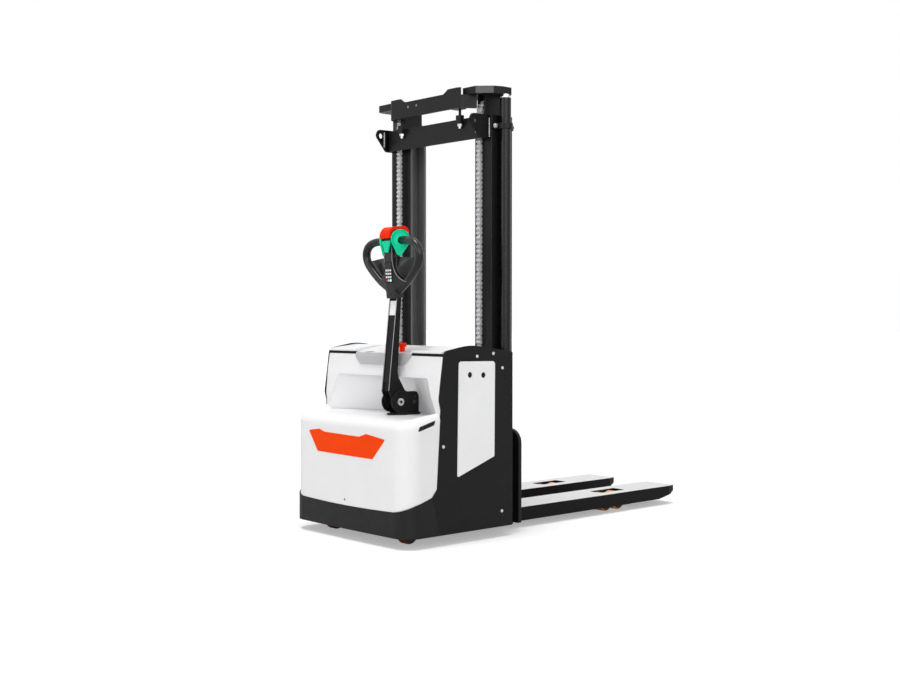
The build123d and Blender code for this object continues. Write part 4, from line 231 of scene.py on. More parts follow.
# Finishes: colour, roughness, and what else sets each apart
STREAKS = (7.0, 7.0, 0.10)
FINISHES = {
    "mast_paint": (srgb(20, 20, 21), 0.40, dict(
        specular=0.20, vary=0.14, grain=700.0, bump=0.10, soft_edge=0.0016, edge_wear_and_highlight=0.55,
        edge_wear_and_highlight_colour=srgb(104, 104, 106))),
    "column_paint": (srgb(20, 20, 21), 0.38, dict(
        specular=0.18, vary=0.38, patch=6.0, stretch=STREAKS, grain=140.0, bump=0.12,
        soft_edge=0.0022, edge_wear_and_highlight=0.7, edge_wear_and_highlight_colour=srgb(122, 122, 124))),
    # Inward faces and rear flange fronts of the inner columns: lightened as painted light against the shade
    # they lie in
    "column_painted_light": (srgb(112, 112, 113), 0.40, dict(
        specular=0.22, vary=0.40, patch=6.0, stretch=STREAKS, grain=140.0, bump=0.12,
        soft_edge=0.0022, edge_wear_and_highlight=0.6, edge_wear_and_highlight_colour=srgb(128, 128, 130))),
    # Cap plate facets that face forward and sideways: lightened as painted reflection
    "cap_painted_reflection": (srgb(92, 92, 93), 0.40, dict(
        specular=0.25, vary=0.06, grain=700.0, bump=0.10, soft_edge=0.0016)),
    # Light strips on the front edges of the arm: a painted highlight
    "arm_painted_highlight": (srgb(168, 168, 170), 0.36, dict(
        metal=0.3, vary=0.10, patch=30.0, grain=500.0, bump=0.08)),
    "cylinder_paint": (srgb(9, 9, 10), 0.26, dict(
        specular=0.24, coat=0.06, vary=0.10, grain=600.0, bump=0.05, soft_edge=0.001)),
    "body_paint": (srgb(20, 20, 21), 0.46, dict(
        specular=0.16, vary=0.09, grain=1100.0, bump=0.14, soft_edge=0.0016, edge_wear_and_highlight=0.45,
        edge_wear_and_highlight_colour=srgb(112, 112, 114))),
    "leg_paint": (srgb(9, 9, 9), 0.44, dict(
        specular=0.14, vary=0.12, grain=800.0, bump=0.12, soft_edge=0.0015, edge_wear_and_highlight=0.35,
        edge_wear_and_highlight_colour=srgb(72, 72, 72))),
    # Fork tops: pale grey is a painted reflection of the bright surroundings on black paint; the white edge
    # colour is a painted highlight
    "fork_paint": (srgb(218, 218, 219), 0.38, dict(
        specular=0.30, vary=0.015, patch=3.0, grain=900.0, bump=0.02, soft_edge=0.006, edge_wear_and_highlight=0.9,
        edge_wear_and_highlight_colour=srgb(250, 250, 250))),
    "white_plate": (srgb(247, 247, 248), 0.36, dict(
        coat=0.10, vary=0.02, grain=1200.0, bump=0.05, soft_edge=0.001)),
    "skirt_plastic": (srgb(21, 21, 22), 0.44, dict(
        specular=0.22, vary=0.08, grain=1600.0, bump=0.16, soft_edge=0.0018)),
    "white_plastic": (srgb(240, 240, 241), 0.34, dict(
        coat=0.10, vary=0.012, grain=1500.0, bump=0.03, soft_edge=0.002)),
    "tray_plastic": (srgb(184, 184, 186), 0.46, dict(
        vary=0.03, grain=1800.0, bump=0.14, soft_edge=0.0025)),
    "orange_plastic": ((0.96, 0.062, 0.002, 1.0), 0.38, dict(
        specular=0.05, vary=0.03, grain=1400.0, bump=0.03, soft_edge=0.0008)),
    "black_plastic": (srgb(9, 9, 10), 0.52, dict(
        specular=0.25, vary=0.12, grain=1500.0, bump=0.18)),
    "head_plastic": (srgb(12, 12, 13), 0.34, dict(
        coat=0.35, specular=0.26, vary=0.10, grain=2200.0, bump=0.14, bump_depth=0.0002)),
    "arm_plastic": (srgb(11, 11, 12), 0.46, dict(
        specular=0.18, vary=0.10, grain=1900.0, bump=0.18, soft_edge=0.0015, edge_wear_and_highlight=0.35,
        edge_wear_and_highlight_colour=srgb(70, 70, 72))),
    "red_plastic": ((1.0, 0.024, 0.0, 1.0), 0.36, dict(
        specular=0.10, vary=0.05, grain=1500.0, bump=0.05, soft_edge=0.004)),
    "green_plastic": ((0.0, 0.76, 0.40, 1.0), 0.36, dict(
        specular=0.20, vary=0.05, grain=1500.0, bump=0.05, soft_edge=0.002)),
    "steel": (srgb(186, 188, 190), 0.34, dict(
        metal=1.0, vary=0.08, grain=500.0, bump=0.05, stretch=(1.0, 6.0, 1.0), soft_edge=0.0006)),
    "chain_steel": (srgb(212, 212, 214), 0.36, dict(
        metal=0.35, vary=0.18, patch=60.0, grain=900.0, bump=0.10)),
    "rod_chrome": (srgb(226, 227, 230), 0.12, dict(
        metal=1.0, vary=0.02, grain=400.0, bump=0.01, rough_vary=0.03)),
    "iron": (srgb(46, 46, 48), 0.62, dict(
        metal=0.35, vary=0.16, grain=420.0, bump=0.40, bump_depth=0.0008)),
    "alloy": (srgb(158, 160, 163), 0.50, dict(
        metal=0.9, vary=0.10, grain=500.0, bump=0.25, bump_depth=0.0006)),
    "load_tread": (srgb(248, 166, 82), 0.36, dict(
        specular=0.20, vary=0.08, patch=18.0, grain=500.0, bump=0.08, soft_edge=0.002)),
    # Same amber polyurethane as the load wheels, darkened as painted shade
    "caster_tread_painted_shade": (srgb(122, 46, 20), 0.42, dict(
        specular=0.20, vary=0.08, patch=18.0, grain=500.0, bump=0.08, soft_edge=0.002)),
    "drive_tread": (srgb(30, 30, 31), 0.66, dict(
        vary=0.12, grain=500.0, bump=0.25)),
    "fork_side": (srgb(8, 8, 9), 0.42, dict(
        specular=0.12, vary=0.14, grain=800.0, bump=0.10, soft_edge=0.0014, edge_wear_and_highlight=0.3,
        edge_wear_and_highlight_colour=srgb(66, 66, 66))),
    "seal_rubber": (srgb(7, 7, 8), 0.62, dict(
        specular=0.2, vary=0.10, grain=900.0, bump=0.2)),
    "screen_glass": (srgb(5, 5, 6), 0.12, dict(
        specular=0.5, vary=0.10, rough_vary=0.03, grain=900.0, bump=0.01)),
    "key_white": (srgb(226, 227, 229), 0.42, dict(
        vary=0.03, grain=1500.0, bump=0.08)),
    "key_mint": (srgb(196, 226, 214), 0.42, dict(
        vary=0.03, grain=1500.0, bump=0.08)),
    "key_red": (srgb(214, 44, 34), 0.42, dict(
        vary=0.04, grain=1500.0, bump=0.08)),
    "trim_grey": (srgb(150, 150, 151), 0.34, dict(
        coat=0.1, vary=0.05, grain=1500.0, bump=0.05)),
    "weld": (srgb(178, 178, 179), 0.34, dict(
        metal=0.4, vary=0.25, patch=90.0, grain=600.0, bump=0.3, bump_depth=0.0008)),
    "zinc": (srgb(222, 222, 224), 0.30, dict(
        metal=0.7, vary=0.06, grain=600.0, bump=0.06, soft_edge=0.0005)),
    "dark_bolt": (srgb(20, 20, 21), 0.34, dict(
        metal=0.5, vary=0.10, grain=600.0, bump=0.10, soft_edge=0.0006)),
    "hub_iron": (srgb(62, 62, 64), 0.5, dict(
        metal=0.6, vary=0.1, grain=500.0, bump=0.2)),
    "cell_grey": (srgb(66, 67, 70), 0.48, dict(
        vary=0.06, grain=1500.0, bump=0.15, soft_edge=0.001)),
    "lead": (srgb(142, 142, 146), 0.46, dict(
        metal=0.8, vary=0.12, grain=500.0, bump=0.2)),
}
MATS = {name: surface(name, colour, rough, **more) for name, (colour, rough, more) in FINISHES.items()}

# Lamp on the keypad
LED_COLOUR = (0.15, 0.9, 0.25, 1.0)
LED_LIGHT = (0.30, 1.0, 0.40, 1.0)
LED_ROUGHNESS = 0.25
LED_GRAIN = 300.0
LED_LOW = 1.6
LED_HIGH = 2.4
LED = bpy.data.materials.new("led_green")
LED.use_nodes = True
led_tree = LED.node_tree
led_bsdf = led_tree.nodes["Principled BSDF"]
led_bsdf.inputs["Base Color"].default_value = LED_COLOUR
led_bsdf.inputs["Roughness"].default_value = LED_ROUGHNESS
led_bsdf.inputs["Emission Color"].default_value = LED_LIGHT
led_glow = led_tree.nodes.new("ShaderNodeTexNoise")
led_glow.inputs["Scale"].default_value = LED_GRAIN
led_span = led_tree.nodes.new("ShaderNodeMapRange")
led_span.inputs["To Min"].default_value = LED_LOW
led_span.inputs["To Max"].default_value = LED_HIGH
led_tree.links.new(led_glow.outputs["Fac"], led_span.inputs["Value"])
led_tree.links.new(led_span.outputs["Result"], led_bsdf.inputs["Emission Strength"])
MATS["led_green"] = LED

# Nodes whose finish differs from the rest of their slot
OWN_FINISH = {
    "outer_columns": "column_paint",
    "inner_columns": "column_paint",
    "cylinder_barrels": "cylinder_paint",
    "arm_cover": "arm_plastic",
    "keypad": "black_plastic",
    "stop_bolts": "dark_bolt",
    "panel_screws": "zinc",
    "tiller_pin": "zinc",
    "lifting_lugs": "leg_paint",
    "caster_wheel_left": "caster_tread_painted_shade",
    "caster_wheel_right": "caster_tread_painted_shade",
}
for part in frame["record"]["subparts"]:
    obj = nodes[part["node"]]
    obj.data.materials.clear()
    obj.data.materials.append(MATS[OWN_FINISH.get(part["node"], part["material_slot"])])

# Limits of the second finishes on a node
FORK_FACE_Z = 0.085
PAINTED_LIGHT_Y = FACE_Y - 0.09
ARM_HIGHLIGHT_X = 0.019
ARM_HIGHLIGHT_Z = 0.62
LOAD_TREAD = 0.012
HUB_SHARE = 0.74


def second_finish(node, finish, test):
    """Gives the faces of a node that pass a test another finish."""
    mesh = nodes[node].data
    mesh.materials.append(MATS[finish])
    for poly in mesh.polygons:
        poly.material_index = 1 if test(poly) else 0


# Fork sides and underside stay black; the tops keep the pale painted reflection
second_finish("forks", "fork_side", lambda p: p.normal.z < 0.9 or p.center.z < FORK_FACE_Z)
# Inward faces and rear flange fronts of the inner columns get painted light
second_finish("inner_columns", "column_painted_light",
              lambda p: p.normal.x * p.center.x < -0.15
              or (p.normal.y < -0.9 and p.center.y > PAINTED_LIGHT_Y))
# Forward and sideways facets of the cap plates get the painted reflection
second_finish("cap_plates", "cap_painted_reflection", lambda p: abs(p.normal.x) > 0.5 and p.normal.y < -0.5)
second_finish("dash_tray", "white_plastic", lambda p: p.normal.z > 0.9)
# The arm's front faces beside its middle get the painted highlight
second_finish("tiller_arm", "arm_painted_highlight",
              lambda p: p.normal.y < -0.9 and abs(p.center.x - TILLER_X) > ARM_HIGHLIGHT_X
              and p.center.z > ARM_HIGHLIGHT_Z)
second_finish("stop_bolts", "zinc", lambda p: p.center.z < STOP_BLOCK_BOTTOM)


def hub_finish(wheel, share, tread):
    """Gives the faces of a wheel that lie inside its tread the finish of a hub."""
    low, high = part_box(wheel)
    middle = (low + high) / 2
    reach = (high.z - low.z) / 2 * share - tread
    second_finish(wheel, "hub_iron",
                  lambda p: math.hypot(p.center.y - middle.y, p.center.z - middle.z) < reach)


for side_name in ("left", "right"):
    hub_finish(f"load_wheel_{side_name}_mast", 1.0, LOAD_TREAD)
    hub_finish(f"load_wheel_{side_name}_tip", 1.0, LOAD_TREAD)
    hub_finish(f"caster_wheel_{side_name}", HUB_SHARE, 0.0)
hub_finish("drive_wheel", HUB_SHARE, 0.0)


# Angle from which an edge of a smooth piece stays sharp
FORM_SHARP = 40.0


def piece(name, bm, finish, body, smooth=False, sharp=None):
    """Turns a bmesh into a piece that rides on a body."""
    bmesh.ops.recalc_face_normals(bm, faces=bm.faces)
    mesh = bpy.data.meshes.new(name)
    bm.to_mesh(mesh)
    bm.free()
    mesh.materials.append(MATS[finish])
    if smooth or sharp:
        for poly in mesh.polygons:
            poly.use_smooth = True
    if sharp:
        mesh.set_sharp_from_angle(angle=math.radians(sharp))
    obj = bpy.data.objects.new(name, mesh)
    scene.collection.objects.link(obj)
    if body:
        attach(obj, body)
    return obj


def frame_matrix(origin, x_axis, y_axis, z_axis):
    """A matrix from an origin and three axes."""
    rot = Matrix((x_axis, y_axis, z_axis)).transposed().to_4x4()
    rot.translation = Vector(origin)
    return rot


def axis_matrix(origin, axis):
    """A matrix whose local Z runs along an axis."""
    axis = Vector(axis).normalized()
    side = axis.orthogonal().normalized()
    return frame_matrix(origin, side, axis.cross(side), axis)


def add_prism(bm, points, depth, matrix):
    """Adds a flat outline, pushed out both ways by half of depth, placed by a matrix."""
    half = depth / 2
    rings = []
    for side in (-half, half):
        rings.append([bm.verts.new(matrix @ Vector((p[0], p[1], side))) for p in points])
    count = len(points)
    bm.faces.new(list(reversed(rings[0])))
    bm.faces.new(rings[1])
    for i in range(count):
        j = (i + 1) % count
        bm.faces.new((rings[0][i], rings[0][j], rings[1][j], rings[1][i]))


def add_rings(bm, rings):
    """Adds a skin through rings of points that have the same count, closed at both ends."""
    loops = [[bm.verts.new(p) for p in ring] for ring in rings]
    count = len(loops[0])
    for low, high in zip(loops, loops[1:]):
        for k in range(count):
            n = (k + 1) % count
            bm.faces.new((low[k], low[n], high[n], high[k]))
    bm.faces.new(list(reversed(loops[0])))
    bm.faces.new(loops[-1])


def add_lathe(bm, profile, matrix, segments=24):
    """Adds a turned form: radius and height pairs round the local Z axis."""
    rings = []
    for radius, height in profile:
        if radius < 1e-6:
            rings.append([bm.verts.new(matrix @ Vector((0, 0, height)))])
            continue
        ring = []
        for k in range(segments):
            turn = 2 * math.pi * k / segments
            spot = Vector((radius * math.cos(turn), radius * math.sin(turn), height))
            ring.append(bm.verts.new(matrix @ spot))
        rings.append(ring)
    for low, high in zip(rings, rings[1:]):
        for k in range(segments):
            n = (k + 1) % segments
            if len(low) == 1 and len(high) == 1:
                continue
            if len(low) == 1:
                bm.faces.new((low[0], high[n], high[k]))
            elif len(high) == 1:
                bm.faces.new((low[k], low[n], high[0]))
            else:
                bm.faces.new((low[k], low[n], high[n], high[k]))


def add_tube(bm, path, radius, sides=8):
    """Adds a round bead along a path of points."""
    rings = []
    count = len(path)
    side = None
    for i, point in enumerate(path):
        along = (path[min(i + 1, count - 1)] - path[max(i - 1, 0)]).normalized()
        if side is None:
            side = along.orthogonal().normalized()
        else:
            side = (side - along * side.dot(along)).normalized()
        up = along.cross(side)
        r = radius[i] if isinstance(radius, list) else radius
        rings.append([point + (side * math.cos(a) + up * math.sin(a)) * r
                      for a in (2 * math.pi * k / sides for k in range(sides))])
    add_rings(bm, rings)


def curve_through(points, steps):
    """Points on a smooth curve that passes through the given tuples of numbers."""
    out = []
    last = len(points) - 1
    for i in range(last):
        p0 = points[max(i - 1, 0)]
        p1 = points[i]
        p2 = points[i + 1]
        p3 = points[min(i + 2, last)]
        for k in range(steps):
            t = k / steps
            out.append(tuple(
                0.5 * (2 * b + (c - a) * t + (2 * a - 5 * b + 4 * c - d) * t * t
                       + (3 * b - a - 3 * c + d) * t ** 3)
                for a, b, c, d in zip(p0, p1, p2, p3)))
    out.append(tuple(points[-1]))
    return out


def hex_bolt(bm, origin, axis, across, height):
    """Adds a hexagon head with a chamfered crown and a washer under it."""
    place = axis_matrix(origin, axis)
    r = across / 2 / math.cos(math.pi / 6)
    washer = height * 0.18
    add_lathe(bm, [(0.0, 0.0), (r * 1.18, 0.0), (r * 1.18, washer), (0.0, washer)], place, 24)
    crown = [(0.0, washer), (r, washer), (r, height * 0.9), (r * 0.86, height), (0.0, height)]
    add_lathe(bm, crown, place, 6)


def button_screw(bm, origin, axis, radius, height):
    """Adds a low domed screw head with a socket sunk in its crown."""
    place = axis_matrix(origin, axis)
    add_lathe(bm, [(0.0, 0.0), (radius, 0.0), (radius, height * 0.45), (radius * 0.8, height * 0.85),
                   (radius * 0.5, height), (radius * 0.46, height * 0.4), (0.0, height * 0.4)], place, 24)


def mesh_tree(mesh):
    """A search tree of a mesh, to find points on it."""
    return BVHTree.FromPolygons([v.co for v in mesh.vertices], [p.vertices for p in mesh.polygons])


def bake(obj):
    """Applies an object's modifiers to its mesh."""
    bpy.context.view_layer.update()
    mesh = bpy.data.meshes.new_from_object(obj.evaluated_get(bpy.context.evaluated_depsgraph_get()))
    old = obj.data
    obj.modifiers.clear()
    obj.data = mesh
    bpy.data.meshes.remove(old)


# Leaf chains, plate by plate
PLATE_COUNT = 7
PLATE_BULGE = 0.0078
PLATE_NECK = 0.0046
PLATE_FILL = 0.92
PLATE_STEP = math.radians(22.0)
LINK_PIN_R = 0.0032
LINK_PIN_PROUD = 0.0008


def plate_shape():
    """Outline of a leaf plate as a closed loop of points, with its depth along X and its run along Y."""
    half = CHAIN_PITCH / 2
    shape = []
    for end in (1, -1):
        for k in range(-6, 7):
            turn = k * PLATE_STEP
            shape.append((end * PLATE_BULGE * math.sin(turn), end * (half + PLATE_BULGE * math.cos(turn))))
        shape.append((end * PLATE_NECK, 0.0))
    return shape


SHAPE = plate_shape()


def add_link(bm, centre, along, across, odd):
    """Adds the plates of one link and the pin at its top end."""
    along = along.normalized()
    thick = across.cross(along).normalized()
    step = CHAIN_WIDTH / PLATE_COUNT
    for index in range(PLATE_COUNT):
        if (index % 2 == 1) != odd:
            continue
        offset = (index - (PLATE_COUNT - 1) / 2) * step
        place = frame_matrix(centre + across * offset, thick, along, across)
        add_prism(bm, SHAPE, step * PLATE_FILL, place)
    pin_end = centre + along * (CHAIN_PITCH / 2) - across * (CHAIN_WIDTH / 2 + LINK_PIN_PROUD)
    length = CHAIN_WIDTH + 2 * LINK_PIN_PROUD
    add_lathe(bm, [(0.0, 0.0), (LINK_PIN_R, 0.0), (LINK_PIN_R, length), (0.0, length)],
              frame_matrix(pin_end, thick, along, across), 10)


def straight_chain(bm, x, y, low, high):
    """Adds a straight run between two heights."""
    count = int((high - low) / CHAIN_PITCH)
    pitch = (high - low) / count
    for i in range(count):
        centre = Vector((x, y, low + (i + 0.5) * pitch))
        add_link(bm, centre, Vector((0, 0, 1)), Vector((1, 0, 0)), i % 2 == 1)


def chains():
    """Front runs, rear runs and the runs over the pulleys."""
    front = bmesh.new()
    rear = bmesh.new()
    wrap = bmesh.new()
    middle_y = (CHAIN_FRONT_Y + CHAIN_BACK_Y) / 2
    for x in (-CHAIN_X, CHAIN_X):
        straight_chain(front, x, CHAIN_FRONT_Y, CHAIN_ANCHOR_Z, PULLEY_Z)
        straight_chain(rear, x, CHAIN_BACK_Y, CARRIAGE_ANCHOR_Z, PULLEY_Z)
        count = round(math.pi * PULLEY_R / CHAIN_PITCH)
        for i in range(count):
            turn = math.pi * (i + 0.5) / count
            centre = Vector((x, middle_y - PULLEY_R * math.cos(turn), PULLEY_Z + PULLEY_R * math.sin(turn)))
            along = Vector((0, math.sin(turn), math.cos(turn)))
            add_link(wrap, centre, along, Vector((1, 0, 0)), i % 2 == 1)
    front_piece = piece("leaf_chain_front", front, "chain_steel", None)
    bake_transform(front_piece)
    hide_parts("lift_chain_front")
    rear_piece = piece("leaf_chain_rear", rear, "chain_steel", "carriage")
    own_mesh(rear_piece)
    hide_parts("lift_chain_rear")
    wrap_piece = piece("leaf_chain_wrap", wrap, "chain_steel", "inner_mast")
    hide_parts("lift_chain_wrap")


# Control head, in its own coordinates: across, up along the arm, and out towards the operator
STEM_SLOPE = (STEM_TOP_FRONT - STEM_FRONT) / (STEM_CREST - STEM_KNEE)
STEM_LEAN = (HEAD_UP + HEAD_OUT * STEM_SLOPE).normalized()
STEM_OUT = HEAD_ACROSS.cross(STEM_LEAN)
STEM_FOOT_POINT = HEAD_BASE + HEAD_UP * STEM_KNEE + HEAD_OUT * STEM_FRONT
RIM_PATH = [
    (0.008, 0.236, -0.016), (0.040, 0.236, -0.016), (0.074, 0.2355, -0.015), (0.114, 0.233, -0.010),
    (0.146, 0.222, -0.006), (0.1655, 0.201, -0.004), (0.1720, 0.175, -0.004), (0.1655, 0.149, -0.004),
    (0.1470, 0.124, -0.004), (0.119, 0.096, -0.004), (0.089, 0.071, -0.004), (0.060, 0.052, -0.004),
    (0.036, 0.038, -0.004), (0.012, 0.026, -0.004),
]
RIM_RADII = [
    0.0168, 0.0168, 0.0168, 0.0170, 0.0174, 0.0176, 0.0176, 0.0174, 0.0172, 0.0170, 0.0170, 0.0170,
    0.0175, 0.0180,
]
PANEL_TOP = 0.160
PANEL_STEM_TOP = 0.168
PANEL_FOOT = 0.036
PANEL_DISH = 0.019
PANEL_ROLL = 0.013
PANEL_FRONT = 0.007
PANEL_BACK = -0.024
PANEL_BACK_SWELL = 0.004
PANEL_CROWN = 0.003
PANEL_COLUMNS = 14
HEAD_VOXEL = 0.0020
HEAD_EASE = 7
HEAD_THIN = 0.45
HEAD_SHARP = 50.0
FAN_EDGE = [
    (0.0265, 0.178), (0.0275, 0.150), (0.0320, 0.124), (0.0425, 0.101), (0.0590, 0.0835),
    (0.0785, 0.0725), (0.0965, 0.0690),
]
FAN_FRONT = 0.0205
FAN_RIM = 0.0120
FAN_BACK = -0.010
FAN_FOOT = (0.0080, 0.0240)
FAN_FOOT_SPAN = (0.0800, 0.0340)
PANEL_STEM_U = 0.020
SLAB_OVERLAP = 0.0005
ROCKER_ROOM = 0.0012
HEAD_CLEAR = 0.080

# Bores for the safety button's post and the horn's plunger: radius, foot, depth
POST_BORE = (0.0078, 0.234, 0.040)
POST_W = -0.012
PLUNGER_BORE = (0.0058, 0.154, 0.030)
PLUNGER_BORE_IN = 0.020


def head_place(u, v, w):
    """A point on the control head, from metres across, up and out."""
    return HEAD_BASE + HEAD_ACROSS * u + HEAD_UP * v + HEAD_OUT * w


def stem_place(u, rise, out):
    """A point on the leaning front of the stem."""
    return STEM_FOOT_POINT + HEAD_ACROSS * u + STEM_LEAN * rise + STEM_OUT * out


def stem_slab(bm, profile, u0, u1):
    """Adds a slab of the stem with an (out, up) outline."""
    add_rings(bm, [[head_place(u, v, w) for w, v in profile] for u in (u0, u1)])


def dished_panel(bm, side):
    """Adds the hollowed shell between the stem and the rim of one hand loop."""
    path = curve_through([RIM_PATH[i] for i in range(6, len(RIM_PATH) - 1)], 5)
    path = [p for p in path if p[1] <= PANEL_TOP]
    path.reverse()
    rows = len(path)
    columns = PANEL_COLUMNS
    sheets = []
    for face in (0, 1):
        grid = []
        for i, (u_rim, v_rim, _) in enumerate(path):
            t = i / (rows - 1)
            v_stem = PANEL_FOOT + (PANEL_STEM_TOP - PANEL_FOOT) * t
            depth = PANEL_DISH * math.sin(math.pi * min(1.0, 0.12 + 0.70 * t)) ** 0.8
            roll = PANEL_ROLL * max(0.0, (t - 0.5) / 0.5) ** 2
            row = []
            for k in range(columns + 1):
                s = k / columns
                hollow = math.sin(math.pi * s ** 2.0)
                if face == 0:
                    w = PANEL_FRONT - depth * hollow - roll * (1.0 - 0.5 * s)
                else:
                    w = PANEL_BACK + PANEL_BACK_SWELL * hollow
                crown = PANEL_CROWN * math.sin(math.pi * s) * t ** 6
                u = PANEL_STEM_U + (u_rim - PANEL_STEM_U) * s
                v = v_stem + (v_rim - v_stem) * s + crown
                row.append(bm.verts.new(head_place(side * u, v, w)))
            grid.append(row)
        sheets.append(grid)
    front, back = sheets
    for i in range(rows - 1):
        for k in range(columns):
            bm.faces.new((front[i][k], front[i][k + 1], front[i + 1][k + 1], front[i + 1][k]))
            bm.faces.new((back[i][k], back[i + 1][k], back[i + 1][k + 1], back[i][k + 1]))
    edge = [(0, k) for k in range(columns)] + [(i, columns) for i in range(rows - 1)]
    edge += [(rows - 1, k) for k in range(columns, 0, -1)] + [(i, 0) for i in range(rows - 1, 0, -1)]
    for a, b in zip(edge, edge[1:] + edge[:1]):
        bm.faces.new((front[a[0]][a[1]], front[b[0]][b[1]], back[b[0]][b[1]], back[a[0]][a[1]]))


def fan_out(u):
    """How far the fan stands out at one distance across."""
    share = max(0.0, (abs(u) - FAN_EDGE[0][0]) / (FAN_EDGE[-1][0] - FAN_EDGE[0][0]))
    return FAN_FRONT + (FAN_RIM - FAN_FRONT) * share ** 0.8


def stem_fan(bm, side):
    """Adds the flare that widens the stem's foot out to the rim."""
    top = curve_through(FAN_EDGE, 5)
    count = len(top)
    shares = [k / (count - 1) for k in range(count)]
    foot = [(FAN_FOOT[0] + FAN_FOOT_SPAN[0] * t, FAN_FOOT[1] + FAN_FOOT_SPAN[1] * t ** 1.1) for t in shares]
    rings = []
    for (u0, v0), (u1, v1) in zip(top, foot):
        rings.append([head_place(side * u0, v0, fan_out(u0)), head_place(side * u1, v1, fan_out(u1)),
                      head_place(side * u1, v1, FAN_BACK), head_place(side * u0, v0, FAN_BACK)])
    add_rings(bm, rings)


def control_head():
    """The moulded head: stem, hand loops and dished shells, fused into one soft-edged skin."""
    bm = bmesh.new()
    outline = [
        (-STEM_BACK, 0.0), (STEM_FRONT, 0.0), (STEM_FRONT, STEM_KNEE), (STEM_TOP_FRONT, STEM_CREST),
        (0.0, STEM_TOP), (-STEM_BACK, STEM_TOP),
    ]
    pocket_r = ROCKER_R + ROCKER_ROOM
    pocket = []
    for k in range(13):
        turn = math.radians(90.0 - 180.0 * k / 12)
        pocket.append((-STEM_BACK + pocket_r * math.cos(turn), ROCKER_V + pocket_r * math.sin(turn)))
    cut = ROCKER_HALF + ROCKER_ROOM
    stem_slab(bm, outline, -STEM_HALF, -cut)
    stem_slab(bm, outline + pocket, -cut - SLAB_OVERLAP, cut + SLAB_OVERLAP)
    stem_slab(bm, outline, cut, STEM_HALF)
    for side in (-1, 1):
        rows = [p + (r,) for p, r in zip(RIM_PATH, RIM_RADII)]
        fine = curve_through(rows, 5)
        add_tube(bm, [head_place(side * u, v, w) for u, v, w, r in fine], [r for u, v, w, r in fine], 20)
        dished_panel(bm, side)
        stem_fan(bm, side)
    head = piece("control_head", bm, "head_plastic", "tiller")
    fuse = head.modifiers.new("fuse", "REMESH")
    fuse.mode = "VOXEL"
    fuse.voxel_size = HEAD_VOXEL
    ease = head.modifiers.new("ease", "SMOOTH")
    ease.factor = 0.5
    ease.iterations = HEAD_EASE
    thin = head.modifiers.new("thin", "DECIMATE")
    thin.ratio = HEAD_THIN
    bake(head)
    tools = bmesh.new()
    radius, foot, depth = POST_BORE
    add_lathe(tools, [(0.0, 0.0), (radius, 0.0), (radius, depth), (0.0, depth)],
              frame_matrix(head_place(0.0, foot, POST_W), HEAD_ACROSS, -HEAD_OUT, HEAD_UP), 24)
    radius, rise, depth = PLUNGER_BORE
    add_lathe(tools, [(0.0, 0.0), (radius, 0.0), (radius, depth), (0.0, depth)],
              frame_matrix(stem_place(0.0, rise, -PLUNGER_BORE_IN), HEAD_ACROSS, STEM_LEAN, STEM_OUT), 20)
    bmesh.ops.recalc_face_normals(tools, faces=tools.faces)
    tool_mesh = bpy.data.meshes.new("bores")
    tools.to_mesh(tool_mesh)
    tools.free()
    tool = bpy.data.objects.new("bores", tool_mesh)
    scene.collection.objects.link(tool)
    bore = head.modifiers.new("bore", "BOOLEAN")
    bore.operation = "DIFFERENCE"
    bore.object = tool
    bake(head)
    bpy.data.objects.remove(tool)
    bpy.data.meshes.remove(tool_mesh)
    mesh = head.data
    mesh.materials.clear()
    mesh.materials.append(MATS["head_plastic"])
    for poly in mesh.polygons:
        poly.use_smooth = True
        poly.material_index = 0
    mesh.set_sharp_from_angle(angle=math.radians(HEAD_SHARP))
    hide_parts("tiller_head")
    return head


def on_head(tree, u, v, lift):
    """A point on the front of the moulded head, straight out from its plane."""
    hit = tree.ray_cast(head_place(u, v, HEAD_CLEAR), -HEAD_OUT)
    return hit[0] + hit[1] * lift


# Light beads beside the stem, a painted highlight of the raised shield's lit edge, and the socket in the
# neck
HIGHLIGHT_TOP = (0.0250, 0.212)
HIGHLIGHT_INSET = (0.0016, 0.0012)
HIGHLIGHT_LIFT = 0.0005
HIGHLIGHT_R = 0.0006
HIGHLIGHT_SWELL = 0.0009
NECK_SOCKET_AT = (0.004, 0.018)
NECK_SOCKET = [(0.0, -0.0015), (0.0030, -0.0012), (0.0032, 0.0004), (0.0042, 0.0006), (0.0046, -0.0010)]


def head_painted_highlight(head):
    """A slim light bead down each side of the stem as painted highlight of the shield's edge, longer on the
    side that catches the light, and a socket in the neck.
    """
    tree = mesh_tree(head.data)
    bm = bmesh.new()
    line = [HIGHLIGHT_TOP] + [(u - HIGHLIGHT_INSET[0], v - HIGHLIGHT_INSET[1]) for u, v in FAN_EDGE]
    # The bead on the shaded side stops short: painted highlight only where the edge is lit
    for side, count in ((-1, 4), (1, 8)):
        path = [on_head(tree, side * u, v, HIGHLIGHT_LIFT) for u, v in curve_through(line[:count], 12)]
        last = len(path) - 1
        swell = [math.sin(math.pi * (0.1 + 0.8 * k / last)) for k in range(last + 1)]
        add_tube(bm, path, [HIGHLIGHT_R + HIGHLIGHT_SWELL * s for s in swell], 8)
    piece("head_painted_highlight", bm, "trim_grey", "tiller", smooth=True)
    bm = bmesh.new()
    spot = on_head(tree, NECK_SOCKET_AT[0], NECK_SOCKET_AT[1], 0.0)
    add_lathe(bm, NECK_SOCKET, frame_matrix(spot, HEAD_ACROSS, HEAD_UP, HEAD_OUT), 20)
    piece("neck_socket", bm, "seal_rubber", "tiller", smooth=True)


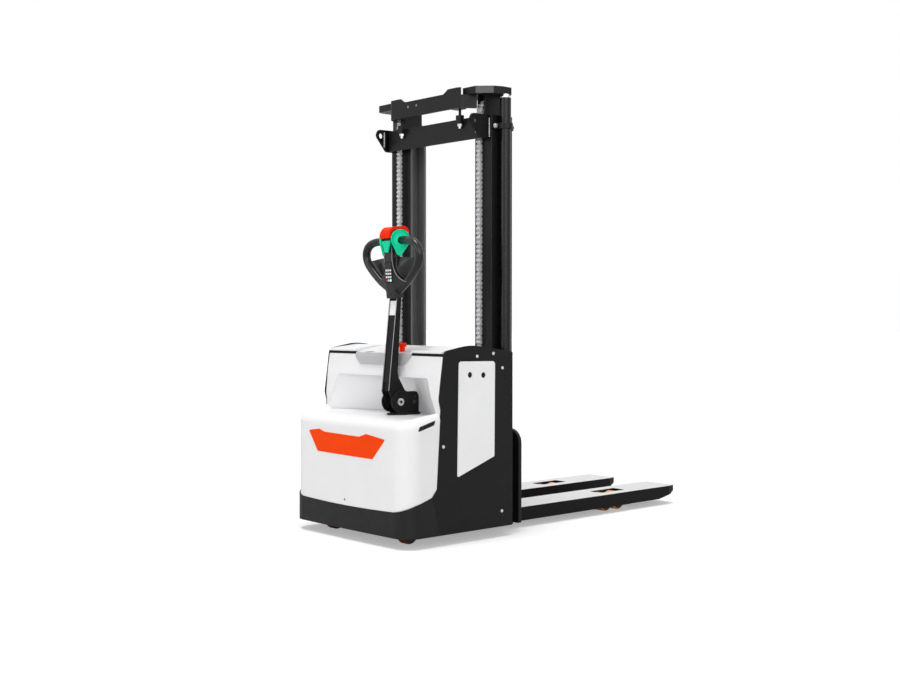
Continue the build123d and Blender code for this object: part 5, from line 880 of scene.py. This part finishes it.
def rounded_rect(half_x, half_y, radius, steps=4):
    """Outline of a rectangle with round corners."""
    points = []
    for cx, cy, start in ((1, 1, 0), (-1, 1, 90), (-1, -1, 180), (1, -1, 270)):
        for k in range(steps + 1):
            turn = math.radians(start + 90 * k / steps)
            points.append((cx * (half_x - radius) + radius * math.cos(turn),
                           cy * (half_y - radius) + radius * math.sin(turn)))
    return points


def add_plate(bm, place, half, corner, levels):
    """Adds a low plate with round corners, ring by ring: how far each ring shrinks, and its level."""
    rings = []
    for shrink, level in levels:
        outline = rounded_rect(half[0] - shrink, half[1] - shrink, corner)
        rings.append([place(x, y, level) for x, y in outline])
    add_rings(bm, rings)


# Keys on the keypad: rows up the stem, columns across it
KEYPAD_FACE = 0.002
KEY_COLUMNS = (-0.0130, 0.0, 0.0130)
KEY_ROWS = (0.0150, 0.0288, 0.0426, 0.0564)
KEY_HALF = (0.0050, 0.0042)
KEY_RISE = 0.0014
KEY_CORNER = 0.0014
KEY_LAMP = [(0.0046, -0.0002), (0.0046, 0.0006), (0.0036, 0.0016), (0.0020, 0.0024), (0.0, 0.0027)]
SCREEN_RISE = 0.0745
SCREEN_HALF = (0.0200, 0.0125)
SCREEN_CORNER = 0.0030

# Rings of a key and of the screen: how far each shrinks, and its level
KEY_LEVELS = ((0.0, -0.0002), (0.0, KEY_RISE * 0.6), (0.0007, KEY_RISE))
SCREEN_LEVELS = ((0.0, -0.0002), (0.0, 0.0004), (0.0006, 0.0008))


def on_keypad(u, rise):
    """A way to place points round a spot on the keypad."""
    return lambda x, y, level: stem_place(u + x, rise + y, KEYPAD_FACE + level)


def keypad_keys():
    """Pale keys in rows, a coloured row below, a lamp and a dark screen above."""
    groups = {"key_white": bmesh.new(), "key_mint": bmesh.new(), "key_red": bmesh.new()}
    for row, rise in enumerate(KEY_ROWS):
        for column, u in enumerate(KEY_COLUMNS):
            finish = "key_white"
            if row == 0:
                finish = ("key_red", "key_mint", None)[column]
            if finish:
                add_plate(groups[finish], on_keypad(u, rise), KEY_HALF, KEY_CORNER, KEY_LEVELS)
    for finish, bm in groups.items():
        piece("keys_" + finish[4:], bm, finish, "tiller")
    bm = bmesh.new()
    spot = stem_place(KEY_COLUMNS[2], KEY_ROWS[0], KEYPAD_FACE)
    add_lathe(bm, KEY_LAMP, frame_matrix(spot, HEAD_ACROSS, STEM_LEAN, STEM_OUT), 20)
    piece("key_lamp", bm, "led_green", "tiller", smooth=True)
    bm = bmesh.new()
    add_plate(bm, on_keypad(0.0, SCREEN_RISE), SCREEN_HALF, SCREEN_CORNER, SCREEN_LEVELS)
    piece("keypad_screen", bm, "screen_glass", "tiller")


# Throttle wings: steps round the outline, room round the loop, and both faces from the bore to the rim
WING_STEPS = 72
WING_ROOM = 0.0004
WING_HOLLOW = [
    (0.00, 0.0030), (0.06, 0.0030), (0.20, 0.0052), (0.42, 0.0062), (0.64, 0.0056), (0.80, 0.0032),
    (0.90, 0.0007), (0.96, 0.0000), (1.00, 0.0014),
]
WING_REAR = [(1.00, 0.0016), (0.94, 0.0), (0.50, 0.0), (0.00, 0.0)]


def wing_reach(turn):
    """Distance from the wing's axis to its outline, at an angle from straight ahead towards straight up."""
    reach = 1.0
    for k in range(WING_STEPS):
        nx = math.cos(2 * math.pi * k / WING_STEPS)
        ny = math.sin(2 * math.pi * k / WING_STEPS)
        facing = nx * math.cos(turn) + ny * math.sin(turn)
        if facing > 1e-3:
            lobe = nx * WING_AHEAD + ny * WING_RISE + WING_R
            tip = nx * WING_TIP_OUT - ny * WING_TIP_DOWN + WING_TIP_R
            reach = min(reach, max(lobe, tip) / facing)
    return reach


def throttle_wings():
    """Cupped leaf-shaped levers, swept back one each side, with a rolled rim round a hollow face."""
    bm = bmesh.new()
    bore = LOOP_R + WING_ROOM
    rows = [(share, WING_THICK / 2 - drop) for share, drop in WING_HOLLOW]
    rows += [(share, rise - WING_THICK / 2) for share, rise in WING_REAR]
    for side in (-1, 1):
        along = HEAD_OUT * math.cos(WING_SWEEP) - HEAD_ACROSS * (side * math.sin(WING_SWEEP))
        facing = HEAD_ACROSS * (side * math.cos(WING_SWEEP)) + HEAD_OUT * math.sin(WING_SWEEP)
        middle = head_place(side * WING_U, WING_AXIS_V, WING_AXIS_W)
        loops = []
        for share, level in rows:
            loop = []
            for k in range(WING_STEPS):
                turn = 2 * math.pi * k / WING_STEPS
                far = wing_reach(turn)
                inner_x = bore * math.cos(turn) / math.cos(WING_SWEEP) - level * math.tan(WING_SWEEP)
                inner_y = bore * math.sin(turn)
                x = inner_x + (far * math.cos(turn) - inner_x) * share
                y = inner_y + (far * math.sin(turn) - inner_y) * share
                loop.append(bm.verts.new(middle + along * x + HEAD_UP * y + facing * level))
            loops.append(loop)
        loops.append(loops[0])
        for low, high in zip(loops, loops[1:]):
            for k in range(WING_STEPS):
                n = (k + 1) % WING_STEPS
                bm.faces.new((low[k], low[n], high[n], high[k]))
    wings = piece("wing_levers", bm, "green_plastic", "throttle_wings", sharp=FORM_SHARP)
    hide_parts("throttle_wings")


# Black strip under the lid: a weather seal, and painted shade that darkens the gap
SEAL_INSET = 0.004
SEAL_MIDDLE = 0.190
SEAL_BACK = 0.0048
SEAL_HALF = (0.0018, 0.0057)
SEAL_CORNER = 0.0012


def seal_and_painted_shade():
    """Black strip in the joint under the lid's front edge: a weather seal, and painted shade in the gap."""
    bm = bmesh.new()
    end = INNER_X - SEAL_INSET
    for x0, x1 in ((-end, -SEAL_MIDDLE), (SEAL_MIDDLE, end)):
        centre = ((x0 + x1) / 2, LID_FRONT + SEAL_BACK, (COVER_TOP + LID_BOTTOM) / 2)
        place = frame_matrix(centre, Vector((0, 1, 0)), Vector((0, 0, 1)), Vector((1, 0, 0)))
        add_prism(bm, rounded_rect(SEAL_HALF[0], SEAL_HALF[1], SEAL_CORNER, 3), x1 - x0, place)
    piece("lid_seal_and_painted_shade", bm, "seal_rubber", "chassis")


# Dark bead in the tray as painted shade of a finger groove
GROOVE_LINE = [
    (-0.1350, -0.7000), (-0.1180, -0.7005), (-0.1020, -0.6975), (-0.0900, -0.6910), (-0.0830, -0.6820),
]
GROOVE_SINK = 0.0006
GROOVE_R = 0.0008
GROOVE_SWELL = 0.0018


def tray_groove_painted_shade():
    """Curved dark bead in the tray, left of the tiller: painted shade of a finger groove."""
    tree = mesh_tree(nodes["dash_tray"].data)
    bm = bmesh.new()
    path = []
    for x, y in curve_through(GROOVE_LINE, 6):
        hit = tree.ray_cast(Vector((x, y, 1.0)), Vector((0, 0, -1)))
        path.append(hit[0] - hit[1] * GROOVE_SINK)
    last = len(path) - 1
    radii = [GROOVE_R + GROOVE_SWELL * math.sin(math.pi * k / last) for k in range(last + 1)]
    add_tube(bm, path, radii, 8)
    piece("tray_groove_painted_shade", bm, "seal_rubber", "chassis", smooth=True)


# Weld beads beside the lifting lugs
WELD_TOP = 1.756
WELD_COLUMN_FOOT = 1.676
WELD_BAR_FOOT = 1.690
WELD_OUT = 0.0062
WELD_IN = 0.0068
WELD_SINK = 0.0005
WELD_R = 0.0038
WELD_LUMP = 0.0013
WELD_STEPS = 32


def welds():
    """Lumpy weld beads down the edges where the lifting lugs meet the columns."""
    bm = bmesh.new()
    bar_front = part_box("outer_head_bar")[0].y
    for side in (-1, 1):
        seams = [(side * (LUG_X + WELD_OUT), COLUMN_FRONT_Y - WELD_SINK, WELD_COLUMN_FOOT),
                 (side * (LUG_X - WELD_IN), bar_front - WELD_SINK, WELD_BAR_FOOT)]
        for x, y, foot in seams:
            path = []
            radii = []
            for k in range(WELD_STEPS + 1):
                path.append(Vector((x, y, foot + (WELD_TOP - foot) * k / WELD_STEPS)))
                radii.append(WELD_R + WELD_LUMP * math.sin(k * 2.3 + side))
            add_tube(bm, path, radii, 7)
    piece("lug_welds", bm, "weld", "chassis", smooth=True)


# How deep a bolt's foot sits in the face under it, and the bolts' places and sizes
SEAT = 0.0002
SCREW_SHARP = 35.0
CLAMP_BOLT_IN = 0.012
CLAMP_BOLT = (0.015, 0.009)
BAR_SCREW_X = (-0.103, -0.047)
BAR_SCREW_Z = 1.843
BAR_SCREW = (0.0050, 0.0032)
EAR_BOLTS = ((-0.6585, 0.568, 0.0085, 0.0045), (-0.6565, 0.588, 0.0040, 0.0025))
HOOD_SCREW_AT = (-0.008, FRONT_Y + 0.0034, 0.1655)
HOOD_SCREW = (0.0048, 0.0030)
PIN_SOCKET = [(0.0, 0.00015), (0.0060, 0.00015), (0.0074, 0.0003), (0.0082, -0.0004)]
GLAND = [
    (0.0205, -0.0005), (0.0225, 0.0010), (0.0225, 0.0050), (0.0205, 0.0064), (0.0178, 0.0066),
    (0.0172, 0.0020), (0.0172, -0.0005),
]


def mast_bolts():
    """Bolts of the cylinder clamps, and screws in the inner head bar."""
    bright = bmesh.new()
    dark = bmesh.new()
    low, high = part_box("cylinder_clamps")
    for side in (-1, 1):
        x = side * (CLAMP_TAB_X - SEAT)
        hex_bolt(bright, (x, low.y + CLAMP_BOLT_IN, CLAMP_Z), (side, 0, 0), *CLAMP_BOLT)
        hex_bolt(dark, (x, high.y - CLAMP_BOLT_IN, CLAMP_Z), (side, 0, 0), *CLAMP_BOLT)
    piece("clamp_bolts", bright, "zinc", "chassis")
    piece("clamp_bolts_rear", dark, "dark_bolt", "chassis")
    bm = bmesh.new()
    for x in BAR_SCREW_X:
        button_screw(bm, (x, INNER_BAR_FRONT + SEAT, BAR_SCREW_Z), (0, -1, 0), *BAR_SCREW)
    piece("bar_screws", bm, "trim_grey", "inner_mast", sharp=SCREW_SHARP)


def cylinder_glands():
    """Wiper glands on top of the barrels, round the rods."""
    bm = bmesh.new()
    for side in (-1, 1):
        add_lathe(bm, GLAND, Matrix.Translation((side * CYLINDER_X, CYLINDER_Y, CYLINDER_TOP)), 32)
    piece("rod_glands", bm, "zinc", "chassis", sharp=FORM_SHARP)


def tiller_details():
    """Socket in the pin's head and small bolts through the ears behind it."""
    bm = bmesh.new()
    low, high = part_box("tiller_pin")
    for side, x in ((-1, low.x), (1, high.x)):
        place = axis_matrix((x, PIN_Y, PIN_Z), (side, 0, 0))
        add_lathe(bm, PIN_SOCKET, place, 6)
    piece("pin_sockets", bm, "dark_bolt", "tiller")
    bm = bmesh.new()
    for side in (-1, 1):
        for y, z, radius, height in EAR_BOLTS:
            foot = (TILLER_X + side * (EAR_HALF - SEAT), y, z)
            button_screw(bm, foot, (side, 0, 0), radius, height)
    piece("ear_bolts", bm, "hub_iron", "steering", sharp=SCREW_SHARP)


# Plate on the arm
ARM_PLATE_Z = 0.945
ARM_PLATE_UP = 0.013
ARM_PLATE_HALF = (0.0190, 0.0300)
ARM_PLATE_CORNER = 0.0020
ARM_PLATE_LEVELS = ((0.0, -0.0002), (0.0, 0.0010), (0.0005, 0.0015))


def arm_plate():
    """Plain pale plate on the arm, under the control head."""
    tree = mesh_tree(nodes["arm_cover"].data)
    hit = tree.ray_cast(Vector((TILLER_X, -1.0, ARM_PLATE_Z)), Vector((0, 1, 0)))
    out = hit[1]
    up = out.cross(HEAD_ACROSS)

    def place(x, y, level):
        """A point on the arm's face."""
        return hit[0] + HEAD_ACROSS * x + up * (y + ARM_PLATE_UP) + out * level

    bm = bmesh.new()
    add_plate(bm, place, ARM_PLATE_HALF, ARM_PLATE_CORNER, ARM_PLATE_LEVELS)
    piece("arm_plate", bm, "white_plate", "tiller")


def hood_screw():
    """Screw that holds the foot of the hood."""
    bm = bmesh.new()
    button_screw(bm, HOOD_SCREW_AT, (0, -1, 0), *HOOD_SCREW)
    piece("hood_screw", bm, "dark_bolt", "chassis", sharp=SCREW_SHARP)


# Top of the battery
CELLS = 12
BATTERY_END = 0.05
CAP_BACK = 0.020
LINK_AHEAD = 0.036
LINK_HALF = (0.010, 0.022)
LINK_CORNER = 0.004
LINK_THICK = 0.007
LINK_LIFT = 0.003
POST_OUT = 0.028
GRIP_BACK = 0.010
GRIP_SINK = 0.001
CAP = [
    (0.0, -0.0005), (0.0135, -0.0005), (0.0135, 0.0060), (0.0120, 0.0080), (0.0060, 0.0088), (0.0, 0.0088),
]
POST = [(0.0, -0.0005), (0.0105, -0.0005), (0.0085, 0.0180), (0.0, 0.0180)]
GRIP = [(-0.045, 0.0), (-0.040, 0.012), (0.0, 0.016), (0.040, 0.012), (0.045, 0.0)]
GRIP_R = 0.0042


def battery_top():
    """Cell caps, terminals and end grips on the battery, seen when the lid is open."""
    low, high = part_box("battery")
    caps = bmesh.new()
    lead = bmesh.new()
    span = (high.x - low.x) - 2 * BATTERY_END
    middle = (low.y + high.y) / 2
    for k in range(CELLS):
        x = low.x + BATTERY_END + span * (k + 0.5) / CELLS
        add_lathe(caps, CAP, Matrix.Translation((x, middle - CAP_BACK, high.z)), 20)
        add_prism(lead, rounded_rect(LINK_HALF[0], LINK_HALF[1], LINK_CORNER, 3), LINK_THICK,
                  Matrix.Translation((x, middle + LINK_AHEAD, high.z + LINK_LIFT)))
    for side in (-1, 1):
        x = (low.x + high.x) / 2 + side * (span / 2 + POST_OUT)
        add_lathe(lead, POST, Matrix.Translation((x, middle + LINK_AHEAD, high.z)), 20)
        foot = Vector((x, middle - GRIP_BACK, high.z - GRIP_SINK))
        add_tube(caps, [foot + Vector((0, a, b)) for a, b in curve_through(GRIP, 5)], GRIP_R, 10)
    piece("battery_caps", caps, "cell_grey", "chassis", sharp=FORM_SHARP)
    piece("battery_links", lead, "lead", "chassis", sharp=FORM_SHARP)


chains()
moulded_head = control_head()
head_painted_highlight(moulded_head)
keypad_keys()
throttle_wings()
seal_and_painted_shade()
tray_groove_painted_shade()
welds()
mast_bolts()
cylinder_glands()
tiller_details()
arm_plate()
hood_screw()
battery_top()

# Camera at the photo's viewing angle
CAMERA_AT = (4.07675, -3.96799, 0.92226)
CAMERA_DOWN = 1.55
CAMERA_TURN = 48.24
CAMERA_LENS = 49.26
CAMERA_SENSOR = 36.0
camera_data = bpy.data.cameras.new("camera")
camera_data.sensor_width = CAMERA_SENSOR
camera_data.lens = CAMERA_LENS
camera = bpy.data.objects.new("camera", camera_data)
camera.location = CAMERA_AT
camera.rotation_euler = (math.radians(90.0 - CAMERA_DOWN), 0.0, math.radians(CAMERA_TURN))
scene.collection.objects.link(camera)
scene.camera = camera

# Floor and light
SKY_LIGHT = 0.30
FLOOR_TONE = 0.74
FLOOR_LIFT = 0.36
FLOOR_REACH = 60.0
WHITE = (1.0, 1.0, 1.0, 1.0)
SUNS = (
    ("overhead", (-0.04, 0.16, -1.0), 2.00, 30.0),
    ("front", (0.20, 1.0, -0.12), 0.66, 40.0),
    ("near", (-0.75, 0.66, -0.15), 0.60, 40.0),
    ("side", (-1.0, 0.25, -0.30), 0.60, 50.0),
)
world = bpy.data.worlds.new("studio")
scene.world = world
world.use_nodes = True
sky = world.node_tree
sky.nodes.clear()
sky_out = sky.nodes.new("ShaderNodeOutputWorld")
sky_mix = sky.nodes.new("ShaderNodeMixShader")
sky_lit = sky.nodes.new("ShaderNodeBackground")
sky_lit.inputs["Color"].default_value = WHITE
sky_lit.inputs["Strength"].default_value = SKY_LIGHT
sky_seen = sky.nodes.new("ShaderNodeBackground")
sky_seen.inputs["Color"].default_value = WHITE
sky_seen.inputs["Strength"].default_value = 1.0
rays = sky.nodes.new("ShaderNodeLightPath")
either = sky.nodes.new("ShaderNodeMath")
either.operation = "MAXIMUM"
any_ray = sky.nodes.new("ShaderNodeMath")
any_ray.operation = "MAXIMUM"
sky.links.new(rays.outputs["Is Camera Ray"], either.inputs[0])
sky.links.new(rays.outputs["Is Glossy Ray"], either.inputs[1])
sky.links.new(either.outputs["Value"], any_ray.inputs[0])
sky.links.new(rays.outputs["Is Transmission Ray"], any_ray.inputs[1])
sky.links.new(any_ray.outputs["Value"], sky_mix.inputs["Fac"])
sky.links.new(sky_lit.outputs["Background"], sky_mix.inputs[1])
sky.links.new(sky_seen.outputs["Background"], sky_mix.inputs[2])
sky.links.new(sky_mix.outputs["Shader"], sky_out.inputs["Surface"])

floor_bm = bmesh.new()
bmesh.ops.create_grid(floor_bm, x_segments=2, y_segments=2, size=FLOOR_REACH)
floor_mesh = bpy.data.meshes.new("floor")
floor_bm.to_mesh(floor_mesh)
floor_bm.free()
floor = bpy.data.objects.new("floor", floor_mesh)
scene.collection.objects.link(floor)
floor_mat = bpy.data.materials.new("floor_white")
floor_mat.use_nodes = True
floor_tree = floor_mat.node_tree
floor_bsdf = floor_tree.nodes["Principled BSDF"]
floor_bsdf.inputs["Base Color"].default_value = (FLOOR_TONE, FLOOR_TONE, FLOOR_TONE, 1.0)
floor_bsdf.inputs["Roughness"].default_value = 0.9
floor_bsdf.inputs["Specular IOR Level"].default_value = 0.0
floor_bsdf.inputs["Emission Color"].default_value = WHITE
floor_rays = floor_tree.nodes.new("ShaderNodeLightPath")
floor_lift = floor_tree.nodes.new("ShaderNodeMath")
floor_lift.operation = "MULTIPLY"
floor_lift.inputs[1].default_value = FLOOR_LIFT
floor_tree.links.new(floor_rays.outputs["Is Camera Ray"], floor_lift.inputs[0])
floor_tree.links.new(floor_lift.outputs["Value"], floor_bsdf.inputs["Emission Strength"])
floor_mesh.materials.append(floor_mat)


def sun(name, direction, strength, spread):
    """A soft far light that shines along a direction."""
    data = bpy.data.lights.new(name, "SUN")
    data.energy = strength
    data.angle = math.radians(spread)
    lamp = bpy.data.objects.new(name, data)
    lamp.rotation_euler = Vector(direction).to_track_quat("-Z", "Y").to_euler()
    scene.collection.objects.link(lamp)


for lamp_name, direction, strength, soft_angle in SUNS:
    sun(lamp_name, direction, strength, soft_angle)
scene.view_settings.view_transform = "Standard"
